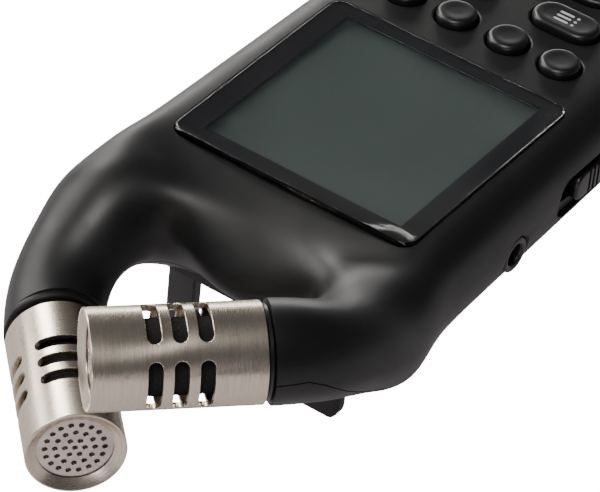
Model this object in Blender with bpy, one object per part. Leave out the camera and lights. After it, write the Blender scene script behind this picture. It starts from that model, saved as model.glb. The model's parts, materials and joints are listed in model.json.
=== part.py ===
"""Handheld stereo voice recorder, modelled as the separate pieces it is assembled from.

Every size below is in millimetres and is turned into metres when a mesh is stored. The pieces are laid out in the
case's own frame, which an empty then leans back onto its fold-out stand:

    x = 0   the middle of the case, +X on the user's right
    y = 0   the bases of the two microphone barrels, +Y towards the microphone end
    z = 0   the flat front face, +Z out of it
"""

import math

import bmesh
import bpy
from mathutils import Matrix, Vector

MM = 0.001

# Clearances
GAP = 0.3  # between pieces that touch
KEY_CLEARANCE = 0.35  # round a key or a knob in its hole
SEAM_GAP = 0.3  # between the two case shells

# Cells, whose size sets the case's depth
BATTERY_DIAMETER = 10.5
BATTERY_LENGTH = 44.5
BATTERY_PITCH = BATTERY_DIAMETER + GAP
CONTACT_GAP = 2.2  # from a cell to the middle of the contact plate
BOARD_TOP = -5.6
BOARD_THICKNESS = 1.2
BOARD_CLEARANCE = 0.8  # between the board and the cells
DOOR_HALF_WIDTH = BATTERY_DIAMETER + GAP + 1.0
DOOR_THICKNESS = 1.6

# Case
CASE_HALF_WIDTH = BATTERY_DIAMETER + 19.4
CASE_TAPER = 0.022  # half-width lost per millimetre towards the tail
CASE_DEPTH = BOARD_THICKNESS - BOARD_TOP + BOARD_CLEARANCE + BATTERY_DIAMETER + GAP + DOOR_THICKNESS
CASE_TAIL = -124.6
DOOR_NEAR = CASE_TAIL + 54.1  # the edge of the battery door towards the microphones
CASE_NOSE = -34.0  # where the case starts to divide into the two arms
CASE_WALL = 1.8
SEAM_HEIGHT = -15.5
SUBDIVISIONS = 1
FLATTEN_ANGLE = 0.4

# Microphones
BARREL_RADIUS = 7.5
BARREL_LENGTH = 25.2
BARREL_WALL = 0.8
BARREL_LIP = 0.4
BARREL_SHOULDER = 1.0  # from the tip to where the bore widens behind the grille's sight
BARREL_INSET = 11.92  # from the case's flank to the middle of a barrel's base
BARREL_BASE_X = CASE_HALF_WIDTH - BARREL_INSET
BARREL_ANGLE = 45.0
HIGH_BARREL_Z = -1.82
LOW_BARREL_Z = -19.75
SLOT_WIDTH = 2.1
SLOT_PITCH = 3.7
SLOT_FIRST = 8.7
SLOT_ARC = 70.0
SLOT_ROWS = 3
SLOT_GROUPS = 4
FOAM_RADIUS = BARREL_RADIUS - BARREL_WALL - 1.2
CAPSULE_LENGTH = 5.0
GRILLE_SIGHT_RADIUS = BARREL_RADIUS - 1.83
GRILLE_THICKNESS = 0.6
GRILLE_HOLE_RADIUS = 0.38
GRILLE_RINGS = 3
GRILLE_RING_PITCH = (GRILLE_SIGHT_RADIUS - 1.29) / GRILLE_RINGS
COLLAR_FLANGE = 0.5
COLLAR_INSET = 0.6  # the flange's rim within the barrel's
COLLAR_SPIGOT = 2.0
COLLAR_WALL = 1.2

# Arms
ARM_RADIUS = BARREL_RADIUS + 0.25
ARM_SWELL_AT_CASE = 1.6  # how much thicker an arm is where it leaves the case
ARM_INSET = 5.9  # from the case's flank to an arm's centre line
ARM_LINE_X = CASE_HALF_WIDTH - ARM_INSET
ARM_BEND = 15.0
ARM_PAST = 6.0  # how far the control mesh runs on past the barrel's base
HIGH_ARM_TURN = (-26.0, -1.0)  # where the arm leaves the case's level, and where it reaches its barrel's
LOW_ARM_TURN = (-20.0, 0.0)
ARM_END = 1.0  # how far the arm stops short of the barrel
WEB = Vector((0.0, -12.0, -14.6))  # control point of the web between the arms

# Display
PANE_WIDTH = 43.9
PANE_LENGTH = 44.5
PANE_NEAR = -31.45
PANE_CORNER = 2.3
PANE_THICKNESS = 1.0
PANE_PROUD = 0.15
LCD_WIDTH = 39.6
LCD_LENGTH = 38.8
LCD_SETBACK = 1.8  # from the pane's middle towards the tail
LCD_THICKNESS = 2.2
HOLDER_WALL = 1.0

# Keys
KEY_TRAVEL = 0.6
FUNCTION_DIAMETER = 6.6
FUNCTION_PITCH = 9.7
FUNCTION_COUNT = 4
FUNCTION_Y = -84.4
OPTION_WIDTH = 11.7
OPTION_X = 9.4
OPTION_Y = -94.4
KEY_PROUD = 1.3
KEY_FLANGE = 0.9
ROCKER_WIDTH = 28.0
ROCKER_LENGTH = 17.0
ROCKER_CORNER = 6.0
ROCKER_Y = -109.8
ROCKER_PROUD = 0.9
ROCKER_THICKNESS = 2.5
RECORD_DIAMETER = 8.5
RECORD_PROUD = 1.5
RECORD_CLEARANCE = 0.55  # round the record key in the rocker pad, which tilts

# Boards
BOARD_HALF_WIDTH = CASE_HALF_WIDTH - 12.9
MAT_THICKNESS = 0.7

# Sides
JACK_Y = -51.8
JACK_Z = -10.2
JACK_NOZZLE_DIAMETER = 6.0
JACK_BORE_DIAMETER = 3.6
JACK_MOUTH_DIAMETER = 4.6
JACK_DEPTH = 14.0
JACK_BLOCK = 6.2
LINE_IN_Y = -70.0
SLIDER_Y = -74.0
SLIDER_Z = -8.6
SLIDER_RECESS_LENGTH = 20.0
SLIDER_RECESS_HEIGHT = 6.6
SLIDER_RECESS_DEPTH = 1.0
SLIDER_KNOB_LENGTH = 10.0
SLIDER_KNOB_PROUD = 1.4
SLIDER_STEM_INSET = 1.5
SLIDER_SLOT_WIDTH = 2.6
SLIDER_TRAVEL = 4.0
VOLUME_Y = -50.0
VOLUME_Z = -9.6
VOLUME_LENGTH = 17.0
VOLUME_HEIGHT = 5.0
CARD_DOOR_Y = -92.0
CARD_DOOR_Z = -8.4
CARD_DOOR_LENGTH = 17.0
CARD_DOOR_HEIGHT = 5.6
CARD_DOOR_THICKNESS = 1.0
CARD_WIDTH = 11.0
CARD_LENGTH = 15.0
CARD_THICKNESS = 0.8
CARD_SETBACK = 4.4  # from the flank to the mouth of the socket
USB_X = BATTERY_DIAMETER + 4.5
USB_Z = -9.0
USB_WIDTH = 7.4
USB_HEIGHT = 2.8
USB_DEPTH = 7.0

# Back
BATTERY_Z = DOOR_THICKNESS + GAP + BATTERY_DIAMETER / 2 - CASE_DEPTH
SPEAKER_DIAMETER = 11.5
SPEAKER_Y = -63.2
SPEAKER_HEIGHT = 3.4
TRIPOD_Y = -51.0
TRIPOD_DIAMETER = 9.0
TRIPOD_BORE = 6.5
TRIPOD_DEPTH = 5.6
STAND_Y = -27.2
STAND_HALF_WIDTH = 16.4
STAND_LEG = 5.1
STAND_THICKNESS = 2.2
STAND_REACH = 33.6  # below the front face, when unfolded
STAND_KNUCKLE = 1.8
STAND_PIN_DIAMETER = 1.4
STAND_AXIS_Z = -18.0
POCKET_WALL = 0.8
POCKET_SIDE_WALL = 1.8
FOOT_X = DOOR_HALF_WIDTH + 3.8
FOOT_Y = -115.0
FOOT_DIAMETER = 5.2
FOOT_HEIGHT = 1.4
FOOT_SEAT = 0.8
POST_DIAMETER = 5.0
POSTS = ((CASE_HALF_WIDTH - 8.3, -29.5), (CASE_HALF_WIDTH - 8.9, -112.5))
SCREW_DIAMETER = 2.0
SCREW_HEAD = 4.2
SCREW_HEAD_HEIGHT = 1.5
SCREW_SEAT = -17.2
SCREW_LENGTH = 9.0

# Angles of the ten points round an arm, from the top of its inner side, round its outer side, to the web
ARM_ANGLES = [math.radians(144 - 36 * step) for step in range(10)]
ARM_SWELL = 6 / (4 + 2 * math.cos(math.tau / 10))  # what a subdivided ring of ten points loses

BLACK = (0.012, 0.012, 0.013)
GREEN = (0.02, 0.12, 0.06)
STEEL = (0.55, 0.56, 0.57)
NICKEL = (0.62, 0.57, 0.52)
GOLD = (0.75, 0.56, 0.24)


# ---------------------------------------------------------------------------------------------- Scene helpers


def clear_scene():
    for old in list(bpy.data.objects):
        bpy.data.objects.remove(old, do_unlink=True)


def make_material(name, colour, roughness, metallic=0.0):
    made = bpy.data.materials.new(name)
    made.use_nodes = True
    shader = made.node_tree.nodes["Principled BSDF"]
    shader.inputs["Base Color"].default_value = (*colour, 1.0)
    shader.inputs["Roughness"].default_value = roughness
    shader.inputs["Metallic"].default_value = metallic
    return made


def make_empty(name, parent=None, location=(0, 0, 0), rotation=(0, 0, 0)):
    empty = bpy.data.objects.new(name, None)
    empty.location = Vector(location) * MM
    empty.rotation_euler = rotation
    empty.parent = parent
    bpy.context.scene.collection.objects.link(empty)
    return empty


def make_object(name, bm, parent, location=(0, 0, 0), rotation=(0, 0, 0)):
    """Stores a bmesh drawn in millimetres as an object in metres."""
    bmesh.ops.recalc_face_normals(bm, faces=bm.faces)
    bmesh.ops.scale(bm, vec=(MM, MM, MM), verts=bm.verts)
    mesh = bpy.data.meshes.new(name)
    bm.to_mesh(mesh)
    bm.free()
    made = bpy.data.objects.new(name, mesh)
    made.location = Vector(location) * MM
    made.rotation_euler = rotation
    made.parent = parent
    bpy.context.scene.collection.objects.link(made)
    return made


def make_piece(name, bm, parent, look, location=(0, 0, 0), rotation=(0, 0, 0)):
    """A visible piece with its own material, given as (colour, roughness, metallic)."""
    made = make_object(name, bm, parent, location, rotation)
    made.data.materials.append(make_material(name, *look))
    made.data.shade_smooth()
    made.data.set_sharp_from_angle(angle=math.radians(35))
    return made


def make_cutter(name, bm, parent, location=(0, 0, 0), rotation=(0, 0, 0)):
    cutter = make_object(name, bm, parent, location, rotation)
    cutter.hide_render = True
    cutter.display_type = "WIRE"
    return cutter


def make_group(name, cutters):
    group = bpy.data.collections.new(name)
    for cutter in cutters:
        group.objects.link(cutter)
    return group


def cut(target, name, cutters, operation="DIFFERENCE"):
    boolean = target.modifiers.new(name, "BOOLEAN")
    boolean.operation = operation
    boolean.solver = "EXACT"
    boolean.operand_type = "COLLECTION"
    boolean.collection = make_group(f"{target.name}_{name}", cutters)


# ---------------------------------------------------------------------------------------------- Shape helpers


def bridge_rings(bm, rings):
    """Joins each ring of vertices to the next with quads. The rings have equal lengths."""
    for first, second in zip(rings, rings[1:]):
        count = len(first)
        for index in range(count):
            after = (index + 1) % count
            bm.faces.new((first[index], first[after], second[after], second[index]))


def rounded_outline(width, length, corner, steps):
    """Points round a rectangle with rounded corners, centred on the origin; steps 0 gives square corners."""
    if steps == 0:
        return [Vector((sx * width / 2, sy * length / 2)) for sx, sy in ((1, 1), (-1, 1), (-1, -1), (1, -1))]
    radius = min(corner, width / 2, length / 2)
    points = []
    for quarter, (sx, sy) in enumerate(((1, 1), (-1, 1), (-1, -1), (1, -1))):
        centre = Vector((sx * (width / 2 - radius), sy * (length / 2 - radius)))
        for step in range(steps + 1):
            angle = math.pi / 2 * (quarter + step / steps)
            points.append(centre + radius * Vector((math.cos(angle), math.sin(angle))))
    distinct = [point for index, point in enumerate(points) if (point - points[index - 1]).length > 1e-4]
    return distinct


def stack(width, length, corner, levels, steps=4):
    """A solid whose outline grows and shrinks as it rises. levels lists (outward offset, z) from the bottom up."""
    bm = bmesh.new()
    rings = []
    for offset, z in levels:
        outline = rounded_outline(width + 2 * offset, length + 2 * offset, corner + offset, steps)
        rings.append([bm.verts.new((point.x, point.y, z)) for point in outline])
    bridge_rings(bm, rings)
    bm.faces.new(rings[0][::-1])
    bm.faces.new(rings[-1])
    return bm


def box(width, length, bottom, top):
    return stack(width, length, 0, [(0, bottom), (0, top)], steps=0)


def rod(radius, bottom, top, steps=4):
    return stack(2 * radius, 2 * radius, radius, [(0, bottom), (0, top)], steps)


def lathe(profile, segments=32):
    """Turns a closed outline of (radius, z) points about Z."""
    bm = bmesh.new()
    rings = []
    for segment in range(segments):
        angle = math.tau * segment / segments
        rings.append([bm.verts.new((r * math.cos(angle), r * math.sin(angle), z)) for r, z in profile])
    bridge_rings(bm, [*rings, rings[0]])
    return bm


def shift(bm, x=0.0, y=0.0, z=0.0):
    bmesh.ops.translate(bm, vec=(x, y, z), verts=bm.verts)
    return bm


def ease(low, high, value):
    """0 below low, 1 above high, and smooth between them."""
    share = min(max((value - low) / (high - low), 0.0), 1.0)
    return share * share * (3 - 2 * share)


# ---------------------------------------------------------------------------------------------- Case shape


def case_half_width(y):
    return CASE_HALF_WIDTH - CASE_TAPER * (CASE_NOSE - y)


def case_ring(y, half_width, top, bottom):
    """Sixteen control points round the case, from the top centre round the +X side and back by the -X side."""
    side = [
        (half_width - 10.5, top),
        (half_width - 4.5, top),
        (half_width - 0.4, top - 3.8),
        (half_width, top - 11.0),
        (half_width - 3.5, bottom + 2.4),
        (half_width - 11.5, bottom),
        (half_width - 19.0, bottom),
    ]
    right = [Vector((x, y, z)) for x, z in side]
    left = [Vector((-x, y, z)) for x, z in reversed(side)]
    return [Vector((0, y, top)), *right, Vector((0, y, bottom)), *left]


def arm_height(y, end_z):
    """Height of an arm's centre line, level where it leaves the case and where it meets the barrel."""
    middle = -CASE_DEPTH / 2
    start, end = HIGH_ARM_TURN if end_z > middle else LOW_ARM_TURN
    return middle + (end_z - middle) * ease(start, end, y)


def arm_ring(side, x, y, z, heading, width, height):
    """Ten control points round an arm whose centre line points at heading, in degrees inward from +Y."""
    turn = math.radians(heading)
    outward = Vector((side * math.cos(turn), math.sin(turn), 0))
    centre = Vector((side * x, y, z))
    points = []
    for angle in ARM_ANGLES:
        across = outward * (width * ARM_SWELL * math.cos(angle))
        points.append(centre + across + Vector((0, 0, height * ARM_SWELL * math.sin(angle))))
    return points


def arm_rings(side, end_z, inset):
    """Control rings of one arm, from the case to a little past the barrel's base."""
    radius = ARM_RADIUS - inset
    swell = radius + ARM_SWELL_AT_CASE
    stub = (ARM_LINE_X - BARREL_BASE_X - ARM_BEND * (1 - math.cos(math.radians(BARREL_ANGLE)))) * math.sqrt(2)
    bend_y = -ARM_BEND * math.sin(math.radians(BARREL_ANGLE)) - stub / math.sqrt(2)
    rings = [
        arm_ring(side, ARM_LINE_X - 1.7, -22.5, arm_height(-22.5, end_z), 0, swell + 0.4, swell),
        arm_ring(side, ARM_LINE_X, -17.0, arm_height(-17.0, end_z), 0, radius + 0.6, radius + 0.6),
    ]
    for share in (0.0, 0.5, 1.0):
        turn = math.radians(BARREL_ANGLE) * share
        x = ARM_LINE_X - ARM_BEND * (1 - math.cos(turn))
        y = bend_y + ARM_BEND * math.sin(turn)
        rings.append(arm_ring(side, x, y, arm_height(y, end_z), math.degrees(turn), radius, radius))
    past = ARM_PAST / math.sqrt(2)
    x, y = BARREL_BASE_X - past, past
    rings.append(arm_ring(side, x, y, end_z, BARREL_ANGLE, radius, radius))
    return rings


def case_cage(inset):
    """Control mesh of the case and both arms; inset moves it inward by a wall."""
    bm = bmesh.new()
    top, bottom = -inset, inset - CASE_DEPTH
    tail = CASE_TAIL + inset

    def add(points):
        return [bm.verts.new(point) for point in points]

    rings = []
    for y, narrower, rounding in ((tail - 0.4, 7.0, 4.6), (tail + 0.6, 1.6, 1.3), (tail + 7.0, 0.0, 0.0)):
        half_width = case_half_width(y) - inset - narrower
        rings.append(add(case_ring(y, half_width, top - rounding, bottom + rounding)))
    for y in (-80.0, -46.0, CASE_NOSE):
        rings.append(add(case_ring(y, case_half_width(y) - inset, top, bottom)))
    neck = case_ring(-28.5, case_half_width(-28.5) + 0.9 - inset, top, bottom)
    for index, (pull, dip) in {0: (2.0, -4.2), 1: (0.6, -1.6), 15: (0.6, -1.6), 8: (2.0, 0.9)}.items():
        neck[index] += Vector((0, pull, dip))
    neck = add(neck)
    rings.append(neck)
    bridge_rings(bm, rings)
    bm.faces.new(rings[0][::-1])

    web = bm.verts.new(WEB - Vector((0, 1.2 * inset, 0)))
    for side, end_z in ((1, LOW_BARREL_Z), (-1, HIGH_BARREL_Z)):
        half = neck[:9] if side > 0 else [neck[0], *neck[:7:-1]]
        loops = [half + [web]] + [add(points) for points in arm_rings(side, end_z, inset)]
        bridge_rings(bm, loops)
        bm.faces.new(loops[-1])
    return bm


def subdivide(target):
    modifier = target.modifiers.new("round", "SUBSURF")
    modifier.levels = SUBDIVISIONS
    modifier.render_levels = SUBDIVISIONS


def flatten(target):
    """Merges the small faces that lie in one plane."""
    modifier = target.modifiers.new("flatten", "DECIMATE")
    modifier.decimate_type = "DISSOLVE"
    modifier.angle_limit = math.radians(FLATTEN_ANGLE)


def seam_height(x, y):
    """Height of the line where the two shells meet: it rises into one arm and drops into the other."""
    share = min(max((y + 32.0) / 32.0, 0.0), 1.0) ** 2
    across = min(max((x + 8.0) / 16.0, 0.0), 1.0)
    end_z = HIGH_BARREL_Z + (LOW_BARREL_Z - HIGH_BARREL_Z) * across
    return SEAM_HEIGHT + (end_z - SEAM_HEIGHT) * share


def seam_block(far_z, offset):
    """Everything on one side of the seam, out to far_z."""
    bm = bmesh.new()
    columns = (-50.0, -8.0, 8.0, 50.0)
    rows = (-150.0, -32.0, -26.0, -20.0, -14.0, -9.0, -4.5, 0.0, 30.0)
    sheets = []
    for flat in (False, True):
        sheets.append(
            [
                [bm.verts.new((x, y, far_z if flat else seam_height(x, y) + offset)) for x in columns]
                for y in rows
            ]
        )
    for sheet in sheets:
        for row, after in zip(sheet, sheet[1:]):
            for left in range(len(columns) - 1):
                bm.faces.new((row[left], row[left + 1], after[left + 1]))
                bm.faces.new((row[left], after[left + 1], after[left]))
    rims = [
        [*sheet[0], *[row[-1] for row in sheet[1:]], *sheet[-1][-2::-1], *[row[0] for row in sheet[-2:0:-1]]]
        for sheet in sheets
    ]
    bridge_rings(bm, rims)
    return bm


# ---------------------------------------------------------------------------------------------- Case shells


def pane_y():
    return PANE_NEAR - PANE_LENGTH / 2


def function_xs():
    first = -FUNCTION_PITCH * (FUNCTION_COUNT - 1) / 2
    return [first + FUNCTION_PITCH * index for index in range(FUNCTION_COUNT)]


def side_x(y):
    """Distance of the case's flank from the middle, near mid-height."""
    return case_half_width(y) - 0.65


def key_hole(width, length, corner, x, y):
    """A hole through the front with a shallow chamfer round its mouth."""
    grow = KEY_CLEARANCE
    levels = [(grow, -2 * CASE_WALL), (grow, -0.5), (grow + 0.9, 0.4), (grow + 0.9, 3.0)]
    return shift(stack(width, length, corner, levels, steps=3), x, y)


def front_cutters(frame):
    """Holes in the front shell: the window's seat, and every key's hole."""
    seat_depth = PANE_THICKNESS - PANE_PROUD + GAP
    seat = stack(PANE_WIDTH, PANE_LENGTH, PANE_CORNER, [(GAP, -seat_depth), (GAP, 3.0)], steps=3)
    sight = box(LCD_WIDTH - 2.0, LCD_LENGTH - 2.0, -2 * CASE_WALL, 1.0)
    cutters = [
        make_cutter("cut_window_seat", shift(seat, 0, pane_y()), frame),
        make_cutter("cut_window_sight", shift(sight, 0, pane_y() - LCD_SETBACK), frame),
    ]
    radius = FUNCTION_DIAMETER / 2
    for index, x in enumerate(function_xs()):
        hole = key_hole(2 * radius, 2 * radius, radius, x, FUNCTION_Y)
        cutters.append(make_cutter(f"cut_function_{index + 1}", hole, frame))
    for side in (-1, 1):
        hole = key_hole(OPTION_WIDTH, FUNCTION_DIAMETER, radius, side * OPTION_X, OPTION_Y)
        cutters.append(make_cutter(f"cut_option_{side}", hole, frame))
    hole = key_hole(ROCKER_WIDTH, ROCKER_LENGTH, ROCKER_CORNER, 0, ROCKER_Y)
    cutters.append(make_cutter("cut_rocker", hole, frame))
    return cutters


def side_cutters(frame):
    """Holes in the flanks and the tail."""
    cutters = []
    quarter = math.pi / 2
    for name, side, y in (("headphone", -1, JACK_Y), ("line_in", 1, LINE_IN_Y)):
        radius = JACK_NOZZLE_DIAMETER / 2
        hole = rod(radius + GAP, -6.0, 6.0, steps=5)
        place = (side * side_x(y), y, JACK_Z)
        cutters.append(make_cutter(f"cut_{name}", hole, frame, place, (0, side * quarter, 0)))

    floor = side_x(SLIDER_Y) - SLIDER_RECESS_DEPTH
    recess = stack(SLIDER_RECESS_HEIGHT, SLIDER_RECESS_LENGTH, 10.0, [(0, 0), (1.0, 4.0)], steps=4)
    turned = (0, -quarter, 0)
    cutters.append(make_cutter("cut_slider_recess", recess, frame, (-floor, SLIDER_Y, SLIDER_Z), turned))
    stem = SLIDER_KNOB_LENGTH - 2 * SLIDER_STEM_INSET
    slot = box(SLIDER_SLOT_WIDTH, stem + 2 * (SLIDER_TRAVEL + GAP), -4.0, 2.0)
    cutters.append(make_cutter("cut_slider_slot", slot, frame, (-floor, SLIDER_Y, SLIDER_Z), turned))

    grow = KEY_CLEARANCE
    hole = stack(VOLUME_HEIGHT, VOLUME_LENGTH, 10.0, [(grow, -5.0), (grow, 5.0)], steps=4)
    place = (side_x(VOLUME_Y), VOLUME_Y, VOLUME_Z)
    cutters.append(make_cutter("cut_volume", hole, frame, place, (0, quarter, 0)))

    levels = [(GAP, -CARD_DOOR_THICKNESS - 0.25), (GAP, 5.0)]
    seat = stack(CARD_DOOR_HEIGHT, CARD_DOOR_LENGTH, 1.0, levels, steps=2)
    place = (side_x(CARD_DOOR_Y), CARD_DOOR_Y, CARD_DOOR_Z)
    cutters.append(make_cutter("cut_card_seat", seat, frame, place, (0, quarter, 0)))
    slot = box(CARD_THICKNESS + 1.0, CARD_WIDTH + 1.0, -6.0, 3.0)
    cutters.append(make_cutter("cut_card_slot", slot, frame, place, (0, quarter, 0)))

    port = box(USB_WIDTH + 2 * GAP, USB_HEIGHT + 2 * GAP, -6.0, 6.0)
    cutters.append(make_cutter("cut_usb", port, frame, (USB_X, CASE_TAIL, USB_Z), (quarter, 0, 0)))
    return cutters


def rear_cutters(frame):
    """Openings in the rear shell: battery door, speaker slots, tripod socket, stand pocket, feet and screws."""
    cutters = []
    door_length = DOOR_NEAR - CASE_TAIL + 10.0
    door = box(2 * (DOOR_HALF_WIDTH + GAP), door_length, -CASE_DEPTH - 3.0, -CASE_DEPTH + DOOR_THICKNESS + GAP)
    shift(door, 0, DOOR_NEAR + GAP - door_length / 2)
    cutters.append(make_cutter("cut_battery_door", door, frame))
    bay_length = DOOR_NEAR - CASE_TAIL - 2 * CASE_WALL
    bay = box(2 * DOOR_HALF_WIDTH - 1.2, bay_length - 1.2, -CASE_DEPTH - 1.0, -CASE_DEPTH + 4.0)
    shift(bay, 0, DOOR_NEAR - 0.6 - bay_length / 2)
    cutters.append(make_cutter("cut_battery_bay", bay, frame))
    for index in (-1, 0, 1):
        slot = stack(8.0, 1.4, 0.7, [(0, -CASE_DEPTH - 2.0), (0, -CASE_DEPTH + 3.0)], steps=2)
        cutters.append(make_cutter(f"cut_speaker_{index}", shift(slot, 0, SPEAKER_Y + 2.8 * index), frame))
    socket = rod(TRIPOD_DIAMETER / 2 + GAP, -CASE_DEPTH - 2.0, -CASE_DEPTH + TRIPOD_DEPTH + GAP, steps=5)
    cutters.append(make_cutter("cut_tripod", shift(socket, 0, TRIPOD_Y), frame))
    length = stand_pocket_length()
    pocket = box(2 * (STAND_HALF_WIDTH + 2 * GAP), length, -CASE_DEPTH - 12.0, stand_pocket_floor())
    shift(pocket, 0, stand_pocket_near() - length / 2)
    cutters.append(make_cutter("cut_stand_pocket", pocket, frame))
    for side in (-1, 1):
        socket = rod(STAND_PIN_DIAMETER / 2 + 0.2, 0.0, STAND_HALF_WIDTH + 1.9, steps=3)
        place = (0, STAND_Y, STAND_AXIS_Z)
        cutters.append(make_cutter(f"cut_stand_pin_{side}", socket, frame, place, (0, side * math.pi / 2, 0)))
        seat = rod(FOOT_DIAMETER / 2 + GAP, -CASE_DEPTH - 3.0, -CASE_DEPTH + FOOT_SEAT, steps=4)
        cutters.append(make_cutter(f"cut_foot_{side}", shift(seat, side * FOOT_X, FOOT_Y), frame))
    return cutters


def screw_cutters(frame):
    cutters = []
    for number, (x, y) in enumerate(screw_places(), 1):
        hole = rod(SCREW_DIAMETER / 2 + 0.2, SCREW_SEAT - 1.0, SCREW_SEAT + SCREW_LENGTH + 0.5, steps=3)
        cutters.append(make_cutter(f"cut_screw_{number}", shift(hole, x, y), frame))
        well = rod(SCREW_HEAD / 2 + GAP, SCREW_SEAT - 16.0, SCREW_SEAT, steps=3)
        cutters.append(make_cutter(f"cut_well_{number}", shift(well, x, y), frame))
    return cutters


def screw_places():
    return [(side * x, y) for x, y in POSTS for side in (-1, 1)]


def stand_pocket_floor():
    return STAND_AXIS_Z + STAND_KNUCKLE + 2 * GAP


def stand_pocket_near():
    return STAND_Y + STAND_KNUCKLE + 2 * GAP


def stand_pocket_length():
    return STAND_KNUCKLE + STAND_REACH + STAND_AXIS_Z + 3 * GAP + 0.8


def post_keepouts(frame):
    """Screw posts left standing inside the case."""
    made = []
    for number, (x, y) in enumerate(screw_places(), 1):
        post = rod(POST_DIAMETER / 2, -CASE_DEPTH - 8.0, 8.0, steps=3)
        made.append(make_cutter(f"keep_post_{number}", shift(post, x, y), frame))
    return made


def stand_pocket_block(root, grow):
    """The block that the stand's pocket is cut into, from root up, grown on its other sides."""
    length = stand_pocket_length() + 2 * (POCKET_WALL + grow)
    width = 2 * (STAND_HALF_WIDTH + 2 * GAP + POCKET_SIDE_WALL + grow)
    block = box(width, length, root, stand_pocket_floor() + POCKET_WALL + grow)
    return shift(block, 0, stand_pocket_near() + POCKET_WALL + grow - length / 2)


def rear_blocks(frame):
    """Material behind the back's deep recesses: the stand's pocket and the tripod socket."""
    root = -CASE_DEPTH + CASE_WALL / 2
    block = stand_pocket_block(root, 0.0)
    boss = rod(TRIPOD_DIAMETER / 2 + GAP + 1.2, root, -CASE_DEPTH + TRIPOD_DEPTH + GAP + 1.2, steps=4)
    return [
        make_cutter("add_stand_pocket", block, frame),
        make_cutter("add_tripod_boss", shift(boss, 0, TRIPOD_Y), frame),
    ]


def arm_end_cutters(mics):
    return [
        make_cutter(f"cut_arm_end_{name}", shift(box(26.0, 26.0, -ARM_END, 22.0)), mic)
        for name, mic in mics.items()
    ]


def build_shells(frame, mics):
    cavity = make_cutter("cavity", case_cage(CASE_WALL), frame)
    subdivide(cavity)
    cut(cavity, "keepouts", post_keepouts(frame))
    arm_ends = arm_end_cutters(mics)
    screws = screw_cutters(frame)
    flanks = side_cutters(frame)
    look = (BLACK, 0.5)
    front = make_piece("front_shell", case_cage(0.0), frame, look)
    subdivide(front)
    below = make_cutter("below_seam", seam_block(-60.0, SEAM_GAP / 2), frame)
    pocket = make_cutter("clear_stand_pocket", stand_pocket_block(-CASE_DEPTH, GAP / 2), frame)
    cut(front, "openings", [cavity, below, pocket, *arm_ends, *screws, *flanks, *front_cutters(frame)])
    flatten(front)
    rear = make_piece("rear_shell", case_cage(0.0), frame, look)
    subdivide(rear)
    above = make_cutter("above_seam", seam_block(30.0, -SEAM_GAP / 2), frame)
    cut(rear, "openings", [cavity, above, *arm_ends, *flanks])
    cut(rear, "blocks", rear_blocks(frame), "UNION")
    cut(rear, "sockets", [*screws, *rear_cutters(frame)])
    flatten(rear)


def build_battery_door(frame):
    """The door is a slice of the case's own skin, so it follows the rounded tail."""
    door = make_piece("battery_door", case_cage(0.0), frame, (BLACK, 0.5))
    subdivide(door)
    length = DOOR_NEAR - CASE_TAIL + 10.0
    slab = box(2 * DOOR_HALF_WIDTH, length, -CASE_DEPTH - 3.0, -CASE_DEPTH + DOOR_THICKNESS)
    shift(slab, 0, DOOR_NEAR - length / 2)
    cut(door, "slice", [make_cutter("keep_door", slab, frame)], "INTERSECT")
    grips = []
    for index in range(3):
        groove = box(9.0, 0.9, -CASE_DEPTH - 1.0, -CASE_DEPTH + 0.5)
        grips.append(make_cutter(f"cut_grip_{index}", shift(groove, 0, DOOR_NEAR - 6.0 - 2.0 * index), frame))
    cut(door, "grip", grips)


# ---------------------------------------------------------------------------------------------- Microphones


def slot_cutter(angle, distance):
    """One slot wrapped round the barrel, with round ends, as a solid through the barrel's wall."""
    bm = bmesh.new()
    radius = BARREL_RADIUS
    half = math.radians(SLOT_ARC) / 2 - SLOT_WIDTH / 2 / radius
    outline = []
    for end in (1, -1):
        for step in range(3):
            turn = math.pi * (step / 2 - 0.5)
            around = end * (half + SLOT_WIDTH / 2 / radius * math.cos(turn))
            outline.append((around, end * SLOT_WIDTH / 2 * math.sin(turn)))
        for share in (0.4, -0.4):
            outline.append((end * half * share, end * SLOT_WIDTH / 2))
    rings = []
    for reach in (radius - 2 * BARREL_WALL, radius + 0.8):
        rings.append(
            [
                bm.verts.new((reach * math.cos(angle + a), reach * math.sin(angle + a), distance + t))
                for a, t in outline
            ]
        )
    bridge_rings(bm, rings)
    for ring in rings:
        high, low = ring[2:6], [ring[0], *ring[:-4:-1]]
        bm.faces.new(ring[0:3])
        bm.faces.new(ring[5:8])
        for left in range(3):
            bm.faces.new((high[left], high[left + 1], low[left + 1], low[left]))
    return bm


def build_barrel(name, mic):
    inner = BARREL_RADIUS - BARREL_WALL
    lip = BARREL_RADIUS - BARREL_LIP
    shoulder = BARREL_LENGTH - BARREL_SHOULDER
    profile = [
        (BARREL_RADIUS - 0.15, 0.0),
        (BARREL_RADIUS, 0.15),
        (BARREL_RADIUS, BARREL_LENGTH),
        (lip, BARREL_LENGTH),
        (GRILLE_SIGHT_RADIUS, shoulder + 0.2),
        (GRILLE_SIGHT_RADIUS, shoulder),
        (inner, shoulder),
        (inner, 0.0),
    ]
    barrel = make_piece(f"mic_barrel_{name}", lathe(profile, 24), mic, (NICKEL, 0.3, 1.0))
    cutters = []
    for group in range(SLOT_GROUPS):
        for row in range(SLOT_ROWS):
            slot = slot_cutter(math.tau * group / SLOT_GROUPS, SLOT_FIRST + row * SLOT_PITCH)
            cutters.append(make_cutter(f"cut_slot_{name}_{group}{row}", slot, mic))
    cut(barrel, "slots", cutters)


def grille_top():
    return BARREL_LENGTH - BARREL_SHOULDER - 0.2


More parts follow.
